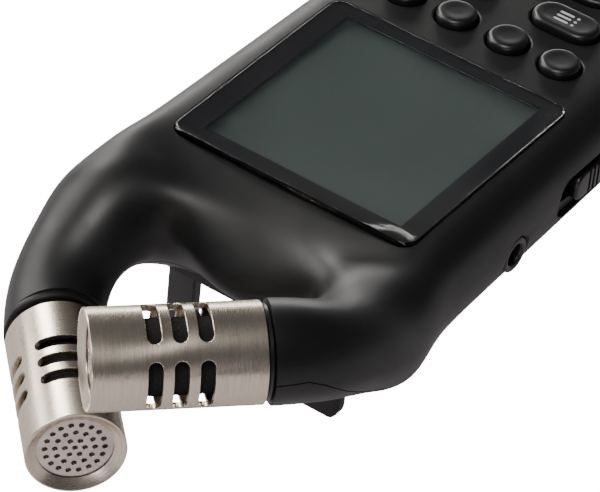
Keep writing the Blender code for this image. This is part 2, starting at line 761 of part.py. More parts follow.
def build_grille(name, mic):
    """A disc with a hexagonal field of holes behind the barrel's lip."""
    top = grille_top()
    disc = rod(BARREL_RADIUS - BARREL_WALL - GAP, top - GRILLE_THICKNESS, top, steps=6)
    grille = make_piece(f"mic_grille_{name}", disc, mic, (NICKEL, 0.35, 1.0))
    holes = []
    for ring in range(GRILLE_RINGS + 1):
        count = max(6 * ring, 1)
        for step in range(count):
            angle = math.tau * step / count
            reach = GRILLE_RING_PITCH * ring
            bm = bmesh.new()
            place = Matrix.Translation((reach * math.cos(angle), reach * math.sin(angle), top))
            bmesh.ops.create_cone(
                bm,
                cap_ends=True,
                segments=6,
                radius1=GRILLE_HOLE_RADIUS,
                radius2=GRILLE_HOLE_RADIUS,
                depth=4 * GRILLE_THICKNESS,
                matrix=place,
            )
            holes.append(make_cutter(f"cut_hole_{name}_{ring}_{step}", bm, mic))
    cut(grille, "holes", holes)


def build_mic(name, mic):
    """One microphone along its own Z, from the arm's end at 0 to the grille."""
    build_barrel(name, mic)
    build_grille(name, mic)
    top = grille_top() - GRILLE_THICKNESS - GAP
    capsule_base = top - CAPSULE_LENGTH
    capsule = rod(FOAM_RADIUS, capsule_base, top, steps=6)
    make_piece(f"mic_capsule_{name}", capsule, mic, (STEEL, 0.4, 1.0))
    foam = rod(FOAM_RADIUS, 1.2, capsule_base - GAP, steps=6)
    make_piece(f"mic_foam_{name}", foam, mic, (BLACK, 0.95))
    flange_top = -(ARM_END - COLLAR_FLANGE) / 2
    spigot = ARM_RADIUS - CASE_WALL - 2 * GAP
    profile = [
        (spigot - COLLAR_WALL, -COLLAR_SPIGOT),
        (spigot, -COLLAR_SPIGOT),
        (spigot, flange_top - COLLAR_FLANGE),
        (BARREL_RADIUS - COLLAR_INSET, flange_top - COLLAR_FLANGE),
        (BARREL_RADIUS - COLLAR_INSET, flange_top),
        (spigot - COLLAR_WALL, flange_top),
    ]
    make_piece(f"mic_collar_{name}", lathe(profile, 20), mic, (BLACK, 0.45))


# ---------------------------------------------------------------------------------------------- Display


def build_display(frame):
    proud = PANE_PROUD
    levels = [(0, proud - PANE_THICKNESS), (0, proud - 0.3), (-0.3, proud)]
    pane = stack(PANE_WIDTH, PANE_LENGTH, PANE_CORNER, levels, steps=3)
    make_piece("display_window", shift(pane, 0, pane_y()), frame, ((0.02, 0.02, 0.02), 0.08))
    top = -CASE_WALL - 2 * GAP
    lcd_y = pane_y() - LCD_SETBACK
    panel = box(LCD_WIDTH, LCD_LENGTH, top - LCD_THICKNESS, top)
    make_piece("lcd_panel", shift(panel, 0, lcd_y), frame, ((0.06, 0.075, 0.07), 0.3))
    bottom = BOARD_TOP + GAP
    grow = 2 * (GAP + HOLDER_WALL)
    holder = box(LCD_WIDTH + grow, LCD_LENGTH + grow, bottom, top)
    holder = make_piece("lcd_holder", shift(holder, 0, lcd_y), frame, ((0.8, 0.8, 0.78), 0.5))
    well = box(LCD_WIDTH + 2 * GAP, LCD_LENGTH + 2 * GAP, top - LCD_THICKNESS - GAP, top + 2.0)
    cutters = [make_cutter("cut_lcd_well", shift(well, 0, lcd_y), frame)]
    window = box(LCD_WIDTH - 8.0, LCD_LENGTH - 8.0, bottom - 1.0, top)
    cutters.append(make_cutter("cut_lcd_window", shift(window, 0, lcd_y), frame))
    cut(holder, "wells", cutters)


def build_boards(frame):
    near = PANE_NEAR - 3.0
    tail = CASE_TAIL + CASE_WALL + 3.0
    board = box(2 * BOARD_HALF_WIDTH, near - tail, BOARD_TOP - BOARD_THICKNESS, BOARD_TOP)
    make_piece("main_board", shift(board, 0, (near + tail) / 2), frame, (GREEN, 0.45))
    mat_near = PANE_NEAR - PANE_LENGTH - 2.6
    mat_top = BOARD_TOP + 2 * GAP + MAT_THICKNESS
    mat = box(2 * BOARD_HALF_WIDTH, mat_near - tail - 1.0, mat_top - MAT_THICKNESS, mat_top)
    make_piece("keypad_mat", shift(mat, 0, (mat_near + tail + 1.0) / 2), frame, ((0.3, 0.3, 0.31), 0.8))


# ---------------------------------------------------------------------------------------------- Keys


def key_levels(proud, foot):
    """Bottom stem, a flange behind the front wall, a straight shank and a domed top."""
    flange_top = -CASE_WALL - GAP
    return [
        (-0.8, foot),
        (-0.8, flange_top - 0.6),
        (KEY_FLANGE, flange_top - 0.6),
        (KEY_FLANGE, flange_top),
        (0.0, flange_top),
        (0.0, proud - 0.9),
        (-0.35, proud - 0.35),
        (-1.1, proud),
    ]


def build_keys(frame):
    mat_top = BOARD_TOP + 2 * GAP + MAT_THICKNESS
    foot = mat_top + KEY_TRAVEL + 0.15
    look = (BLACK, 0.38)
    radius = FUNCTION_DIAMETER / 2
    for index, x in enumerate(function_xs(), 1):
        key = stack(2 * radius, 2 * radius, radius, key_levels(KEY_PROUD, foot), steps=3)
        make_piece(f"function_button_{index}", key, frame, look, (x, FUNCTION_Y, 0))
    for name, side in (("left", -1), ("right", 1)):
        key = stack(OPTION_WIDTH, FUNCTION_DIAMETER, radius, key_levels(KEY_PROUD, foot), steps=3)
        make_piece(f"option_button_{name}", key, frame, look, (side * OPTION_X, OPTION_Y, 0))
    radius = RECORD_DIAMETER / 2
    levels = [(-1.0, foot), (-1.0, -3.0), (0.5, -3.0), (0.5, -2.3), (0.0, -2.3)]
    levels += [(0.0, RECORD_PROUD - 0.8), (-0.4, RECORD_PROUD - 0.3), (-1.4, RECORD_PROUD)]
    key = stack(2 * radius, 2 * radius, radius, levels, steps=4)
    make_piece("record_button", key, frame, ((0.45, 0.02, 0.02), 0.35), (0, ROCKER_Y, 0))
    build_rocker(frame, radius)


def build_rocker(frame, record_radius):
    pivot_z = rocker_pivot_z()
    bottom = ROCKER_PROUD - ROCKER_THICKNESS
    levels = [(0, bottom), (0, ROCKER_PROUD - 0.7), (-0.3, ROCKER_PROUD - 0.2), (-0.9, ROCKER_PROUD)]
    pad = shift(stack(ROCKER_WIDTH, ROCKER_LENGTH, ROCKER_CORNER, levels, steps=4), z=-pivot_z)
    place = (0, ROCKER_Y, pivot_z)
    pad = make_piece("rocker_pad", pad, frame, (BLACK, 0.4), place)
    bore = rod(record_radius + RECORD_CLEARANCE, -10.0, 10.0, steps=5)
    cut(pad, "bore", [make_cutter("cut_record_bore", bore, frame, place)])
    ring_top = bottom - 2 * GAP
    ring = stack(22.0, 12.6, 4.0, [(0, ring_top - 1.0 - pivot_z), (0, ring_top - pivot_z)], steps=3)
    ring = make_piece("rocker_pivot", ring, frame, ((0.25, 0.25, 0.26), 0.5), place)
    bore = rod(record_radius + 0.5 + KEY_CLEARANCE, -10.0, 10.0, steps=5)
    cut(ring, "bore", [make_cutter("cut_pivot_bore", bore, frame, place)])


def rocker_pivot_z():
    return ROCKER_PROUD - ROCKER_THICKNESS - GAP


# ---------------------------------------------------------------------------------------------- Sides


def build_jack(name, frame, side, y):
    """A socket along its own Z, with the mouth of its nozzle flush with the flank."""
    mouth, radius = 0.1, JACK_NOZZLE_DIAMETER / 2
    shoulder = -CASE_WALL - 2.2
    levels = [(0, shoulder - JACK_DEPTH + 4.0), (0, shoulder)]
    body = stack(JACK_BLOCK, JACK_BLOCK, 0.0, levels, steps=0)
    turned = (0, side * math.pi / 2, 0)
    place = (side * side_x(y), y, JACK_Z)
    jack = make_piece(name, body, frame, (BLACK, 0.35), place, turned)
    nozzle = make_cutter(f"add_{name}_nozzle", rod(radius, shoulder - 1.0, mouth, steps=4), frame, place, turned)
    cut(jack, "nozzle", [nozzle], "UNION")
    bore = rod(JACK_BORE_DIAMETER / 2, -JACK_DEPTH + 1.0, 3.0, steps=3)
    mouth_half = JACK_MOUTH_DIAMETER / 2
    lead = stack(2 * mouth_half, 2 * mouth_half, mouth_half, [(-0.6, mouth - 0.6), (0.4, mouth + 0.4)], steps=3)
    cutters = [
        make_cutter(f"cut_{name}_bore", bore, frame, place, turned),
        make_cutter(f"cut_{name}_lead", lead, frame, place, turned),
    ]
    cut(jack, "bore", cutters)


def build_sides(frame):
    build_jack("headphone_jack", frame, -1, JACK_Y)
    build_jack("line_in_jack", frame, 1, LINE_IN_Y)
    quarter = math.pi / 2

    floor = side_x(SLIDER_Y) - SLIDER_RECESS_DEPTH
    wide, length = SLIDER_RECESS_HEIGHT - 2.0, SLIDER_KNOB_LENGTH
    top = SLIDER_KNOB_PROUD
    inset = SLIDER_STEM_INSET
    levels = [(-inset, -2.6), (-inset, GAP), (0, GAP), (0, top - 0.5), (-0.5, top)]
    knob = stack(wide, length, 1.8, levels, steps=3)
    place, turned = (-floor, SLIDER_Y, SLIDER_Z), (0, -quarter, 0)
    knob = make_piece("power_slider", knob, frame, (BLACK, 0.4), place, turned)
    grips = [
        make_cutter(f"cut_slider_grip_{index}", shift(box(9.0, 0.5, top - 0.35, top + 1.0), 0, 1.2 * index), knob)
        for index in (-1, 0, 1)
    ]
    cut(knob, "grip", grips)
    switch = box(5.4, 14.0, -6.4, -2.9)
    make_piece("slide_switch", switch, frame, (STEEL, 0.4, 1.0), place, turned)

    place, turned = (side_x(VOLUME_Y), VOLUME_Y, VOLUME_Z), (0, quarter, 0)
    levels = [(0, -2.4), (0, 0.5), (-0.5, 1.0)]
    rocker = stack(VOLUME_HEIGHT, VOLUME_LENGTH, 2.5, levels, steps=4)
    make_piece("volume_rocker", rocker, frame, (BLACK, 0.4), place, turned)
    make_piece("volume_switch", box(4.4, 12.0, -6.5, -3.2), frame, (STEEL, 0.4, 1.0), place, turned)
    build_card(frame)
    build_usb(frame)


def card_door_axis():
    """The door's hinge line: upright, at its tail end, inside its own thickness."""
    x = side_x(CARD_DOOR_Y) - CARD_DOOR_THICKNESS / 2
    return x, CARD_DOOR_Y - CARD_DOOR_LENGTH / 2 + CARD_DOOR_THICKNESS / 2


def build_card(frame):
    quarter = math.pi / 2
    axis_x, axis_y = card_door_axis()
    half = CARD_DOOR_THICKNESS / 2
    levels = [(0, -half), (0, half - 0.2), (-0.2, half)]
    door = stack(CARD_DOOR_HEIGHT, CARD_DOOR_LENGTH, 0.9, levels, steps=2)
    shift(door, 0, CARD_DOOR_LENGTH / 2 - half)
    make_piece("card_door", door, frame, (BLACK, 0.55), (axis_x, axis_y, CARD_DOOR_Z), (0, quarter, 0))

    mouth = side_x(CARD_DOOR_Y) - CARD_SETBACK
    depth = CARD_LENGTH - 1.0
    socket = box(depth, CARD_WIDTH + 2.4, -1.1, 1.1)
    socket = make_piece(
        "card_socket", socket, frame, (STEEL, 0.35, 1.0), (mouth - depth / 2, CARD_DOOR_Y, CARD_DOOR_Z)
    )
    cavity = box(depth, CARD_WIDTH + 0.6, -CARD_THICKNESS / 2 - 0.25, CARD_THICKNESS / 2 + 0.25)
    cut(socket, "slot", [make_cutter("cut_card_cavity", shift(cavity, 1.0), socket)])
    card = stack(CARD_LENGTH, CARD_WIDTH, 0.8, [(0, -CARD_THICKNESS / 2), (0, CARD_THICKNESS / 2)], steps=1)
    place = (mouth - depth + 1.4 + CARD_LENGTH / 2, CARD_DOOR_Y, CARD_DOOR_Z)
    make_piece("memory_card", card, frame, ((0.03, 0.03, 0.04), 0.4), place)


def build_usb(frame):
    levels = [(0, -USB_DEPTH), (0, 0.0)]
    port = stack(USB_WIDTH, USB_HEIGHT, 0.6, levels, steps=2)
    place, turned = (USB_X, CASE_TAIL + 1.1, USB_Z), (math.pi / 2, 0, 0)
    port = make_piece("usb_port", port, frame, (STEEL, 0.3, 1.0), place, turned)
    cavity = stack(USB_WIDTH - 0.8, USB_HEIGHT - 0.8, 0.3, [(0, 1.0 - USB_DEPTH), (0, 2.0)], steps=1)
    cut(port, "mouth", [make_cutter("cut_usb_mouth", cavity, frame, place, turned)])


# ---------------------------------------------------------------------------------------------- Power


def battery_y():
    return DOOR_NEAR - 0.4 - CONTACT_GAP - BATTERY_LENGTH / 2


def build_power(frame):
    radius = BATTERY_DIAMETER / 2
    half = BATTERY_LENGTH / 2
    nub = 0.9
    for name, side in (("left", -1), ("right", 1)):
        levels = [(-0.4, -half), (0, 0.4 - half), (0, half - nub - 0.4), (-0.4, half - nub)]
        levels += [(-3.4, half - nub), (-3.4, half)]
        cell = stack(2 * radius, 2 * radius, radius, levels, steps=4)
        place = (side * BATTERY_PITCH / 2, battery_y(), BATTERY_Z)
        turned = (side * math.pi / 2, 0, 0)
        make_piece(f"battery_{name}", cell, frame, ((0.02, 0.05, 0.12), 0.35), place, turned)
        build_battery_spring(name, side, frame)
    plate = box(2 * radius + BATTERY_PITCH, 0.4, BATTERY_Z - 4.0, BATTERY_Z + 4.0)
    shift(plate, 0, battery_y() + half + CONTACT_GAP)
    make_piece("battery_contact_front", plate, frame, (STEEL, 0.3, 1.0))
    plate = box(2 * radius + BATTERY_PITCH, 0.4, BATTERY_Z - 4.0, BATTERY_Z + 4.0)
    shift(plate, 0, battery_y() - half - CONTACT_GAP)
    make_piece("battery_contact_tail", plate, frame, (STEEL, 0.3, 1.0))


def build_battery_spring(name, side, frame):
    """A tapered coil that presses on the flat end of one cell."""
    curve = bpy.data.curves.new(f"battery_spring_{name}", "CURVE")
    curve.dimensions = "3D"
    curve.bevel_depth = 0.25 * MM
    curve.bevel_resolution = 0
    curve.use_fill_caps = True
    turns, steps, length = 2.5, 8, CONTACT_GAP - 2 * GAP - 0.7
    count = int(turns * steps)
    spline = curve.splines.new("POLY")
    spline.points.add(count)
    for index, point in enumerate(spline.points):
        angle = math.tau * index / steps
        reach = 3.2 - 1.0 * index / count
        rise = length * index / count
        point.co = (reach * math.cos(angle) * MM, reach * math.sin(angle) * MM, rise * MM, 1.0)
    made = bpy.data.objects.new(f"battery_spring_{name}", curve)
    curve.materials.append(make_material(made.name, STEEL, 0.3, 1.0))
    made.parent = frame
    base = battery_y() + side * (BATTERY_LENGTH / 2 + CONTACT_GAP - 0.2 - GAP - 0.25)
    made.location = Vector((side * BATTERY_PITCH / 2, base, BATTERY_Z)) * MM
    made.rotation_euler = (side * math.pi / 2, 0, 0)
    bpy.context.scene.collection.objects.link(made)


def build_speaker(frame):
    radius = SPEAKER_DIAMETER / 2
    base = -CASE_DEPTH + CASE_WALL + GAP
    levels = [(0, base), (0, base + 1.2), (-1.4, base + SPEAKER_HEIGHT)]
    speaker = stack(2 * radius, 2 * radius, radius, levels, steps=5)
    make_piece("speaker", shift(speaker, 0, SPEAKER_Y), frame, ((0.05, 0.05, 0.05), 0.5))


# ---------------------------------------------------------------------------------------------- Back


def ground():
    """A point on the surface the recorder stands on, and how far that surface slopes in the case's frame."""
    foot = Vector((0, FOOT_Y, -CASE_DEPTH - FOOT_HEIGHT))
    stand = Vector((0, STAND_Y, -STAND_REACH))
    slope = math.atan2(foot.z - stand.z, stand.y - foot.y)
    return stand, slope


def trim_to_ground(bm, offset=Vector((0, 0, 0))):
    """Cuts a bmesh flat where it meets the ground. offset is where the bmesh's own origin lies."""
    point, slope = ground()
    normal = Vector((0, -math.sin(slope), -math.cos(slope)))
    geometry = list(bm.verts) + list(bm.edges) + list(bm.faces)
    cut_line = bmesh.ops.bisect_plane(
        bm, geom=geometry, plane_co=point - offset, plane_no=normal, clear_outer=True, dist=1e-5
    )
    edges = [item for item in cut_line["geom_cut"] if isinstance(item, bmesh.types.BMEdge)]
    bmesh.ops.holes_fill(bm, edges=edges)
    return bm


def build_stand(frame):
    """A U-shaped loop that turns on two pins, drawn about its hinge line."""
    axis = Vector((0, STAND_Y, STAND_AXIS_Z))
    drop = STAND_REACH + STAND_AXIS_Z + 1.0
    outline = []
    corner = 3.3
    for sx, start in ((1, 0), (-1, 90)):
        centre = Vector((sx * (STAND_HALF_WIDTH - corner), corner - drop))
        for step in range(4):
            turn = math.radians(start + 30 * step)
            outline.append(centre + corner * Vector((math.cos(turn), -math.sin(turn))))
    outline = [Vector((STAND_HALF_WIDTH, 0)), *outline, Vector((-STAND_HALF_WIDTH, 0))]
    inner = STAND_HALF_WIDTH - STAND_LEG
    outline += [Vector((-inner, 0)), Vector((-inner, STAND_LEG - drop)), Vector((inner, STAND_LEG - drop))]
    outline += [Vector((inner, 0))]
    bm = bmesh.new()
    half = STAND_THICKNESS / 2
    rings = [[bm.verts.new((point.x, y, point.y)) for point in outline] for y in (-half, half)]
    bridge_rings(bm, rings)
    for ring in rings:
        bm.faces.new(ring)
    bmesh.ops.recalc_face_normals(bm, faces=bm.faces)
    trim_to_ground(bm, axis)
    stand = make_piece("stand", bm, frame, (BLACK, 0.45), axis)
    knuckles, bores = [], []
    for side in (-1, 1):
        turned = (0, side * math.pi / 2, 0)
        knuckle = rod(STAND_KNUCKLE, STAND_HALF_WIDTH - STAND_LEG, STAND_HALF_WIDTH, steps=3)
        knuckles.append(make_cutter(f"add_knuckle_{side}", knuckle, frame, axis, turned))
        bore = rod(STAND_PIN_DIAMETER / 2 + 0.2, 1.0, STAND_HALF_WIDTH + 3.0, steps=3)
        bores.append(make_cutter(f"cut_knuckle_{side}", bore, frame, axis, turned))
    cut(stand, "knuckles", knuckles, "UNION")
    cut(stand, "bores", bores)
    for name, side in (("left", -1), ("right", 1)):
        pin = rod(STAND_PIN_DIAMETER / 2, STAND_HALF_WIDTH - STAND_LEG + 0.4, STAND_HALF_WIDTH + 1.5, steps=3)
        turned = (0, side * math.pi / 2, 0)
        make_piece(f"stand_pin_{name}", pin, frame, (STEEL, 0.3, 1.0), axis, turned)


def build_back(frame):
    build_stand(frame)
    radius, bore = TRIPOD_DIAMETER / 2, TRIPOD_BORE / 2
    bottom = -CASE_DEPTH + 0.1
    top = -CASE_DEPTH + TRIPOD_DEPTH
    profile = [(bore + 0.4, bottom), (radius, bottom), (radius, top), (bore, top), (bore, bottom + 0.4)]
    make_piece("tripod_insert", shift(lathe(profile, 20), 0, TRIPOD_Y), frame, (GOLD, 0.3, 1.0))
    for name, side in (("left", -1), ("right", 1)):
        foot = rod(FOOT_DIAMETER / 2, -CASE_DEPTH - FOOT_HEIGHT - 1.0, -CASE_DEPTH + FOOT_SEAT - GAP, steps=4)
        foot = trim_to_ground(shift(foot, side * FOOT_X, FOOT_Y))
        make_piece(f"rear_foot_{name}", foot, frame, ((0.02, 0.02, 0.02), 0.9))
    for number, (x, y) in enumerate(screw_places(), 1):
        head, shank = SCREW_HEAD / 2, SCREW_DIAMETER / 2
        grow = head - shank
        base = SCREW_SEAT - GAP
        levels = [(grow - 0.4, base - SCREW_HEAD_HEIGHT), (grow, base - SCREW_HEAD_HEIGHT + 0.4), (grow, base)]
        levels += [(0, base), (0, base + SCREW_LENGTH - 0.6), (-0.5, base + SCREW_LENGTH)]
        screw = stack(2 * shank, 2 * shank, shank, levels, steps=3)
        make_piece(f"case_screw_{number}", screw, frame, (STEEL, 0.35, 1.0), (x, y, 0))


# ---------------------------------------------------------------------------------------------- Assembly


def shown_points():
    """World positions of every vertex of every piece, as built."""
    depsgraph = bpy.context.evaluated_depsgraph_get()
    points = []
    for piece in bpy.context.scene.objects:
        if piece.type in {"MESH", "CURVE"} and not piece.hide_render:
            built = piece.evaluated_get(depsgraph)
            mesh = built.to_mesh()
            points += [built.matrix_world @ vertex.co for vertex in mesh.vertices]
            built.to_mesh_clear()
    return points


def stand_on_ground(frame):
    """Leans the case onto its stand, and moves it so the middle of its footprint is the origin."""
    point, slope = ground()
    frame.rotation_euler = (slope, 0, 0)
    frame.location = Matrix.Rotation(slope, 3, "X") @ point * -MM
    bpy.context.view_layer.update()
    points = shown_points()
    for axis in (0, 1):
        values = [point[axis] for point in points]
        frame.location[axis] -= (min(values) + max(values)) / 2
    bpy.context.view_layer.update()


def main():
    clear_scene()
    frame = make_empty("case_frame")
    lay_down, inward = math.radians(90), math.radians(BARREL_ANGLE)
    places = {"left": (-1, HIGH_BARREL_Z, -inward), "right": (1, LOW_BARREL_Z, inward)}
    mics = {}
    for name, (side, z, turn) in places.items():
        mics[name] = make_empty(
            f"mic_frame_{name}", frame, (side * BARREL_BASE_X, 0, z), (-lay_down, 0, turn)
        )
    build_shells(frame, mics)
    build_battery_door(frame)
    for name, mic in mics.items():
        build_mic(name, mic)
    build_display(frame)
    build_boards(frame)
    build_keys(frame)
    build_sides(frame)
    build_power(frame)
    build_speaker(frame)
    build_back(frame)
    stand_on_ground(frame)


main()
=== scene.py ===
"""Looks of a handheld stereo voice recorder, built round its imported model.

Shapes are drawn in millimetres in the case's own frame, and stored in metres in the model's frame:

    x = 0   the middle of the case, +X on the user's right
    y = 0   the bases of the two microphone barrels, +Y towards the microphone end
    z = 0   the flat front face, +Z out of it
"""

import json
import logging
import math
from dataclasses import dataclass
from enum import Enum
from typing import Sequence

import bmesh
import bpy
from bmesh.types import BMesh, BMFace, BMVert
from mathutils import Matrix, Vector, noise
from mathutils.bvhtree import BVHTree
from mathutils.interpolate import poly_3d_calc


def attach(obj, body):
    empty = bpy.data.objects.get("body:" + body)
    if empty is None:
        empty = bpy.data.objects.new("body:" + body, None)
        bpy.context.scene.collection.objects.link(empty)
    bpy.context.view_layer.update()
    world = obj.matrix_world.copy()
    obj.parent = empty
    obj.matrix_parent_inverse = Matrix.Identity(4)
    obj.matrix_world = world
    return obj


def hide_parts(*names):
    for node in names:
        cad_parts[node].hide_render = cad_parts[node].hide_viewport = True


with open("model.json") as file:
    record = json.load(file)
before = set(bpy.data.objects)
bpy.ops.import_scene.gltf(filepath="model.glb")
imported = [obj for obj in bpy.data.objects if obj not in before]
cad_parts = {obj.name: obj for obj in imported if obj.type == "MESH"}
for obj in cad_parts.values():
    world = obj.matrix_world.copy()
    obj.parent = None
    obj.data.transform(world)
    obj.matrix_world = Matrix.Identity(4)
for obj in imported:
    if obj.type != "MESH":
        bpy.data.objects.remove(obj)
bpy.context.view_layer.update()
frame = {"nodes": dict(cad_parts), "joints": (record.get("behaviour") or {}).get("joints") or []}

MM = 0.001
WELD = 1e-4  # millimetres within which two vertices are one
ON_PLANE = 1e-5  # millimetres within which a vertex lies on a cutting plane
QUARTER = math.pi / 2
LIP_STEPS = 5  # edges across the rounded lip of a hole
LIP_TURN = 17.0  # degrees from one to the next
LIP_FLARE = 1.4  # how far a cutter spreads above its lip, in radii of the lip

Colour = tuple[float, float, float]
Levels = Sequence[tuple[float, float]]

log = logging.getLogger("recorder")


# --------------------------------------------------------------------------------------------- Shapes


def flat(width: float, length: float, corner: float = 0.0, steps: int = 8) -> BMesh:
    """A rectangle with rounded corners, centred on the origin and facing +Z.

    Args:
        width: Size along X.
        length: Size along Y.
        corner: Radius of the corners, limited to half of the shorter side.
        steps: Edges in each corner.

    Returns:
        A bmesh with one face.
    """
    bm = bmesh.new()
    bmesh.ops.create_grid(bm, x_segments=1, y_segments=1, size=0.5)
    bmesh.ops.scale(bm, vec=(width, length, 1.0), verts=bm.verts)
    radius = min(corner, (min(width, length) - WELD) / 2)
    if radius > 0:
        bmesh.ops.bevel(
            bm,
            geom=bm.verts[:],
            offset=radius,
            offset_type="OFFSET",
            segments=steps,
            profile=0.5,
            affect="VERTICES",
            material=-1,
        )
        bmesh.ops.remove_doubles(bm, verts=bm.verts, dist=10 * WELD)
    return bm


def tower(width: float, length: float, levels: Levels, corner: float = 0.0, steps: int = 8) -> BMesh:
    """A solid whose outline grows and shrinks as it rises.

    Args:
        width: Size along X at an offset of 0.
        length: Size along Y at an offset of 0.
        levels: Outward offset and height of each level, from the bottom up.
        corner: Corner radius at an offset of 0.
        steps: Edges in each corner.

    Returns:
        A closed bmesh.
    """
    first, base = levels[0]
    bm = flat(width + 2 * first, length + 2 * first, corner + first if corner else 0.0, steps)
    bmesh.ops.translate(bm, vec=(0, 0, base), verts=bm.verts)
    raised = bmesh.ops.extrude_face_region(bm, geom=bm.faces[:])["geom"]
    top = next(item for item in raised if isinstance(item, BMFace))
    for (offset, z), (next_offset, next_z) in zip(levels, levels[1:]):
        bmesh.ops.inset_individual(
            bm, faces=[top], thickness=offset - next_offset, depth=next_z - z, use_even_offset=True
        )
    return sealed(bm)


def sealed(bm: BMesh) -> BMesh:
    """Merges doubled vertices and turns every face outwards."""
    bmesh.ops.remove_doubles(bm, verts=bm.verts, dist=WELD)
    bmesh.ops.dissolve_degenerate(bm, edges=bm.edges, dist=WELD / 10)
    bmesh.ops.recalc_face_normals(bm, faces=bm.faces)
    return bm


def turned(profile: Levels, segments: int = 64, closed: bool = True) -> BMesh:
    """A solid of revolution about Z.

    Args:
        profile: Radius and height of each point of the outline.
        segments: Steps round the axis.
        closed: Whether the outline is a ring; an open one starts and ends on the axis.

    Returns:
        A closed bmesh.
    """
    bm = bmesh.new()
    verts = [bm.verts.new((radius, 0, z)) for radius, z in profile]
    ends = [*verts[1:], verts[0]] if closed else verts[1:]
    edges = [bm.edges.new(pair) for pair in zip(verts, ends)]
    bmesh.ops.spin(
        bm,
        geom=verts + edges,
        cent=(0, 0, 0),
        axis=(0, 0, 1),
        dvec=(0, 0, 0),
        angle=math.tau,
        steps=segments,
        use_merge=True,
        use_duplicate=False,
    )
    return sealed(bm)


def coil(section: Levels, pitch: float, turns: float, steps: int = 24) -> BMesh:
    """A closed section swept along a helix about Z, with its ends closed.

    Args:
        section: Radius and height of each point of the section.
        pitch: Rise in one turn.
        turns: Number of turns.
        steps: Steps in one turn.

    Returns:
        A closed bmesh.
    """
    bm = bmesh.new()
    face = bm.faces.new([bm.verts.new((radius, 0, z)) for radius, z in section])
    count = round(turns * steps)
    bmesh.ops.spin(
        bm,
        geom=[face],
        cent=(0, 0, 0),
        axis=(0, 0, 1),
        dvec=(0, 0, pitch / steps),
        angle=math.tau * turns,
        steps=count,
        use_merge=False,
        use_duplicate=False,
    )
    return sealed(capped(bm))


def rounding(radius: float, top: float, count: int = 5) -> list[tuple[float, float]]:
    """Levels of a rounded rim that ends flat at height top, one radius further in."""
    turns = [QUARTER * step / count for step in range(count + 1)]
    return [(radius * (math.cos(turn) - 1), top + radius * (math.sin(turn) - 1)) for turn in turns]


def mouth(
    depth: float, radius: float, clearance: float = 0.0, above: float = 2.0
) -> list[tuple[float, float]]:
    """Levels of a cutter whose hole has a rounded lip at height 0.

    Args:
        depth: How deep the hole goes.
        radius: Radius of the lip.
        clearance: Outward offset of the hole's wall.
        above: How far the cutter stands above the surface.

    Returns:
        Offset and height of each level.
    """
    levels = [(clearance, -depth)]
    for step in range(LIP_STEPS + 1):
        turn = math.radians(LIP_TURN * step)
        levels.append((clearance + radius * (1 - math.cos(turn)), radius * (math.sin(turn) - 1)))
    levels.append((clearance + radius * LIP_FLARE, above))
    return levels


def shifted(bm: BMesh, x: float = 0.0, y: float = 0.0, z: float = 0.0) -> BMesh:
    """The same bmesh, moved."""
    bmesh.ops.translate(bm, vec=(x, y, z), verts=bm.verts)
    return bm


def placed(bm: BMesh, matrix: Matrix) -> BMesh:
    """The same bmesh, moved and turned by a matrix."""
    bmesh.ops.transform(bm, matrix=matrix, verts=bm.verts)
    return bm


def turned_about(bm: BMesh, axis: str, angle: float) -> BMesh:
    """The same bmesh, turned about an axis through the origin."""
    return placed(bm, Matrix.Rotation(angle, 4, axis))


def new_verts(geometry: Sequence[object]) -> list[BMVert]:
    """The vertices among what an operator made."""
    return [item for item in geometry if isinstance(item, BMVert)]


def capped(bm: BMesh) -> BMesh:
    """The same bmesh, with a face over each of its open loops."""
    bmesh.ops.holes_fill(bm, edges=[edge for edge in bm.edges if edge.is_boundary], sides=0)
    return bm


def halved(bm: BMesh, point: Vector, normal: Vector) -> BMesh:
    """Cuts a closed bmesh flat at a plane.

    Args:
        bm: The bmesh.
        point: A point on the plane.
        normal: The way the plane faces; what lies on that side goes.

    Returns:
        What is left, closed again.
    """
    geometry = [*bm.verts, *bm.edges, *bm.faces]
    bmesh.ops.bisect_plane(
        bm, geom=geometry, plane_co=point, plane_no=normal, clear_outer=True, dist=ON_PLANE
    )
    return sealed(capped(bm))


def scratch_object(bm: BMesh, collection: bpy.types.Collection) -> bpy.types.Object:
    """A temporary object that takes over a bmesh."""
    mesh = bpy.data.meshes.new("scratch")
    bm.to_mesh(mesh)
    bm.free()
    made = bpy.data.objects.new("scratch", mesh)
    collection.objects.link(made)
    return made


def evaluated(target: bpy.types.Object) -> BMesh:
    """What an object's modifiers make of it, as a new bmesh."""
    depsgraph = bpy.context.evaluated_depsgraph_get()
    mesh = bpy.data.meshes.new_from_object(target.evaluated_get(depsgraph))
    bm = bmesh.new()
    bm.from_mesh(mesh)
    bpy.data.meshes.remove(mesh)
    return bm


def carve(body: BMesh, cutters: Sequence[BMesh], operation: str = "DIFFERENCE") -> BMesh:
    """Cuts closed bmeshes from another, or joins them to it. All of them are used up.

    Args:
        body: The bmesh that is worked on.
        cutters: The bmeshes that are cut away or joined.
        operation: DIFFERENCE, UNION or INTERSECT.

    Returns:
        The resulting closed bmesh.
    """
    target = scratch_object(body, bpy.context.scene.collection)
    group = bpy.data.collections.new("cutters")
    tools = [scratch_object(cutter, group) for cutter in cutters]
    modifier = target.modifiers.new("carve", "BOOLEAN")
    modifier.operation = operation
    modifier.solver = "MANIFOLD"
    modifier.operand_type = "COLLECTION"
    modifier.collection = group
    result = evaluated(target)
    for used in (target, *tools):
        bpy.data.objects.remove(used, do_unlink=True)
    bpy.data.collections.remove(group)
    return result


def rounded_cage(cage: BMesh, levels: int) -> BMesh:
    """A control cage, subdivided into its smooth surface."""
    target = scratch_object(cage, bpy.context.scene.collection)
    modifier = target.modifiers.new("round", "SUBSURF")
    modifier.levels = levels
    modifier.render_levels = levels
    result = evaluated(target)
    bpy.data.objects.remove(target, do_unlink=True)
    return result


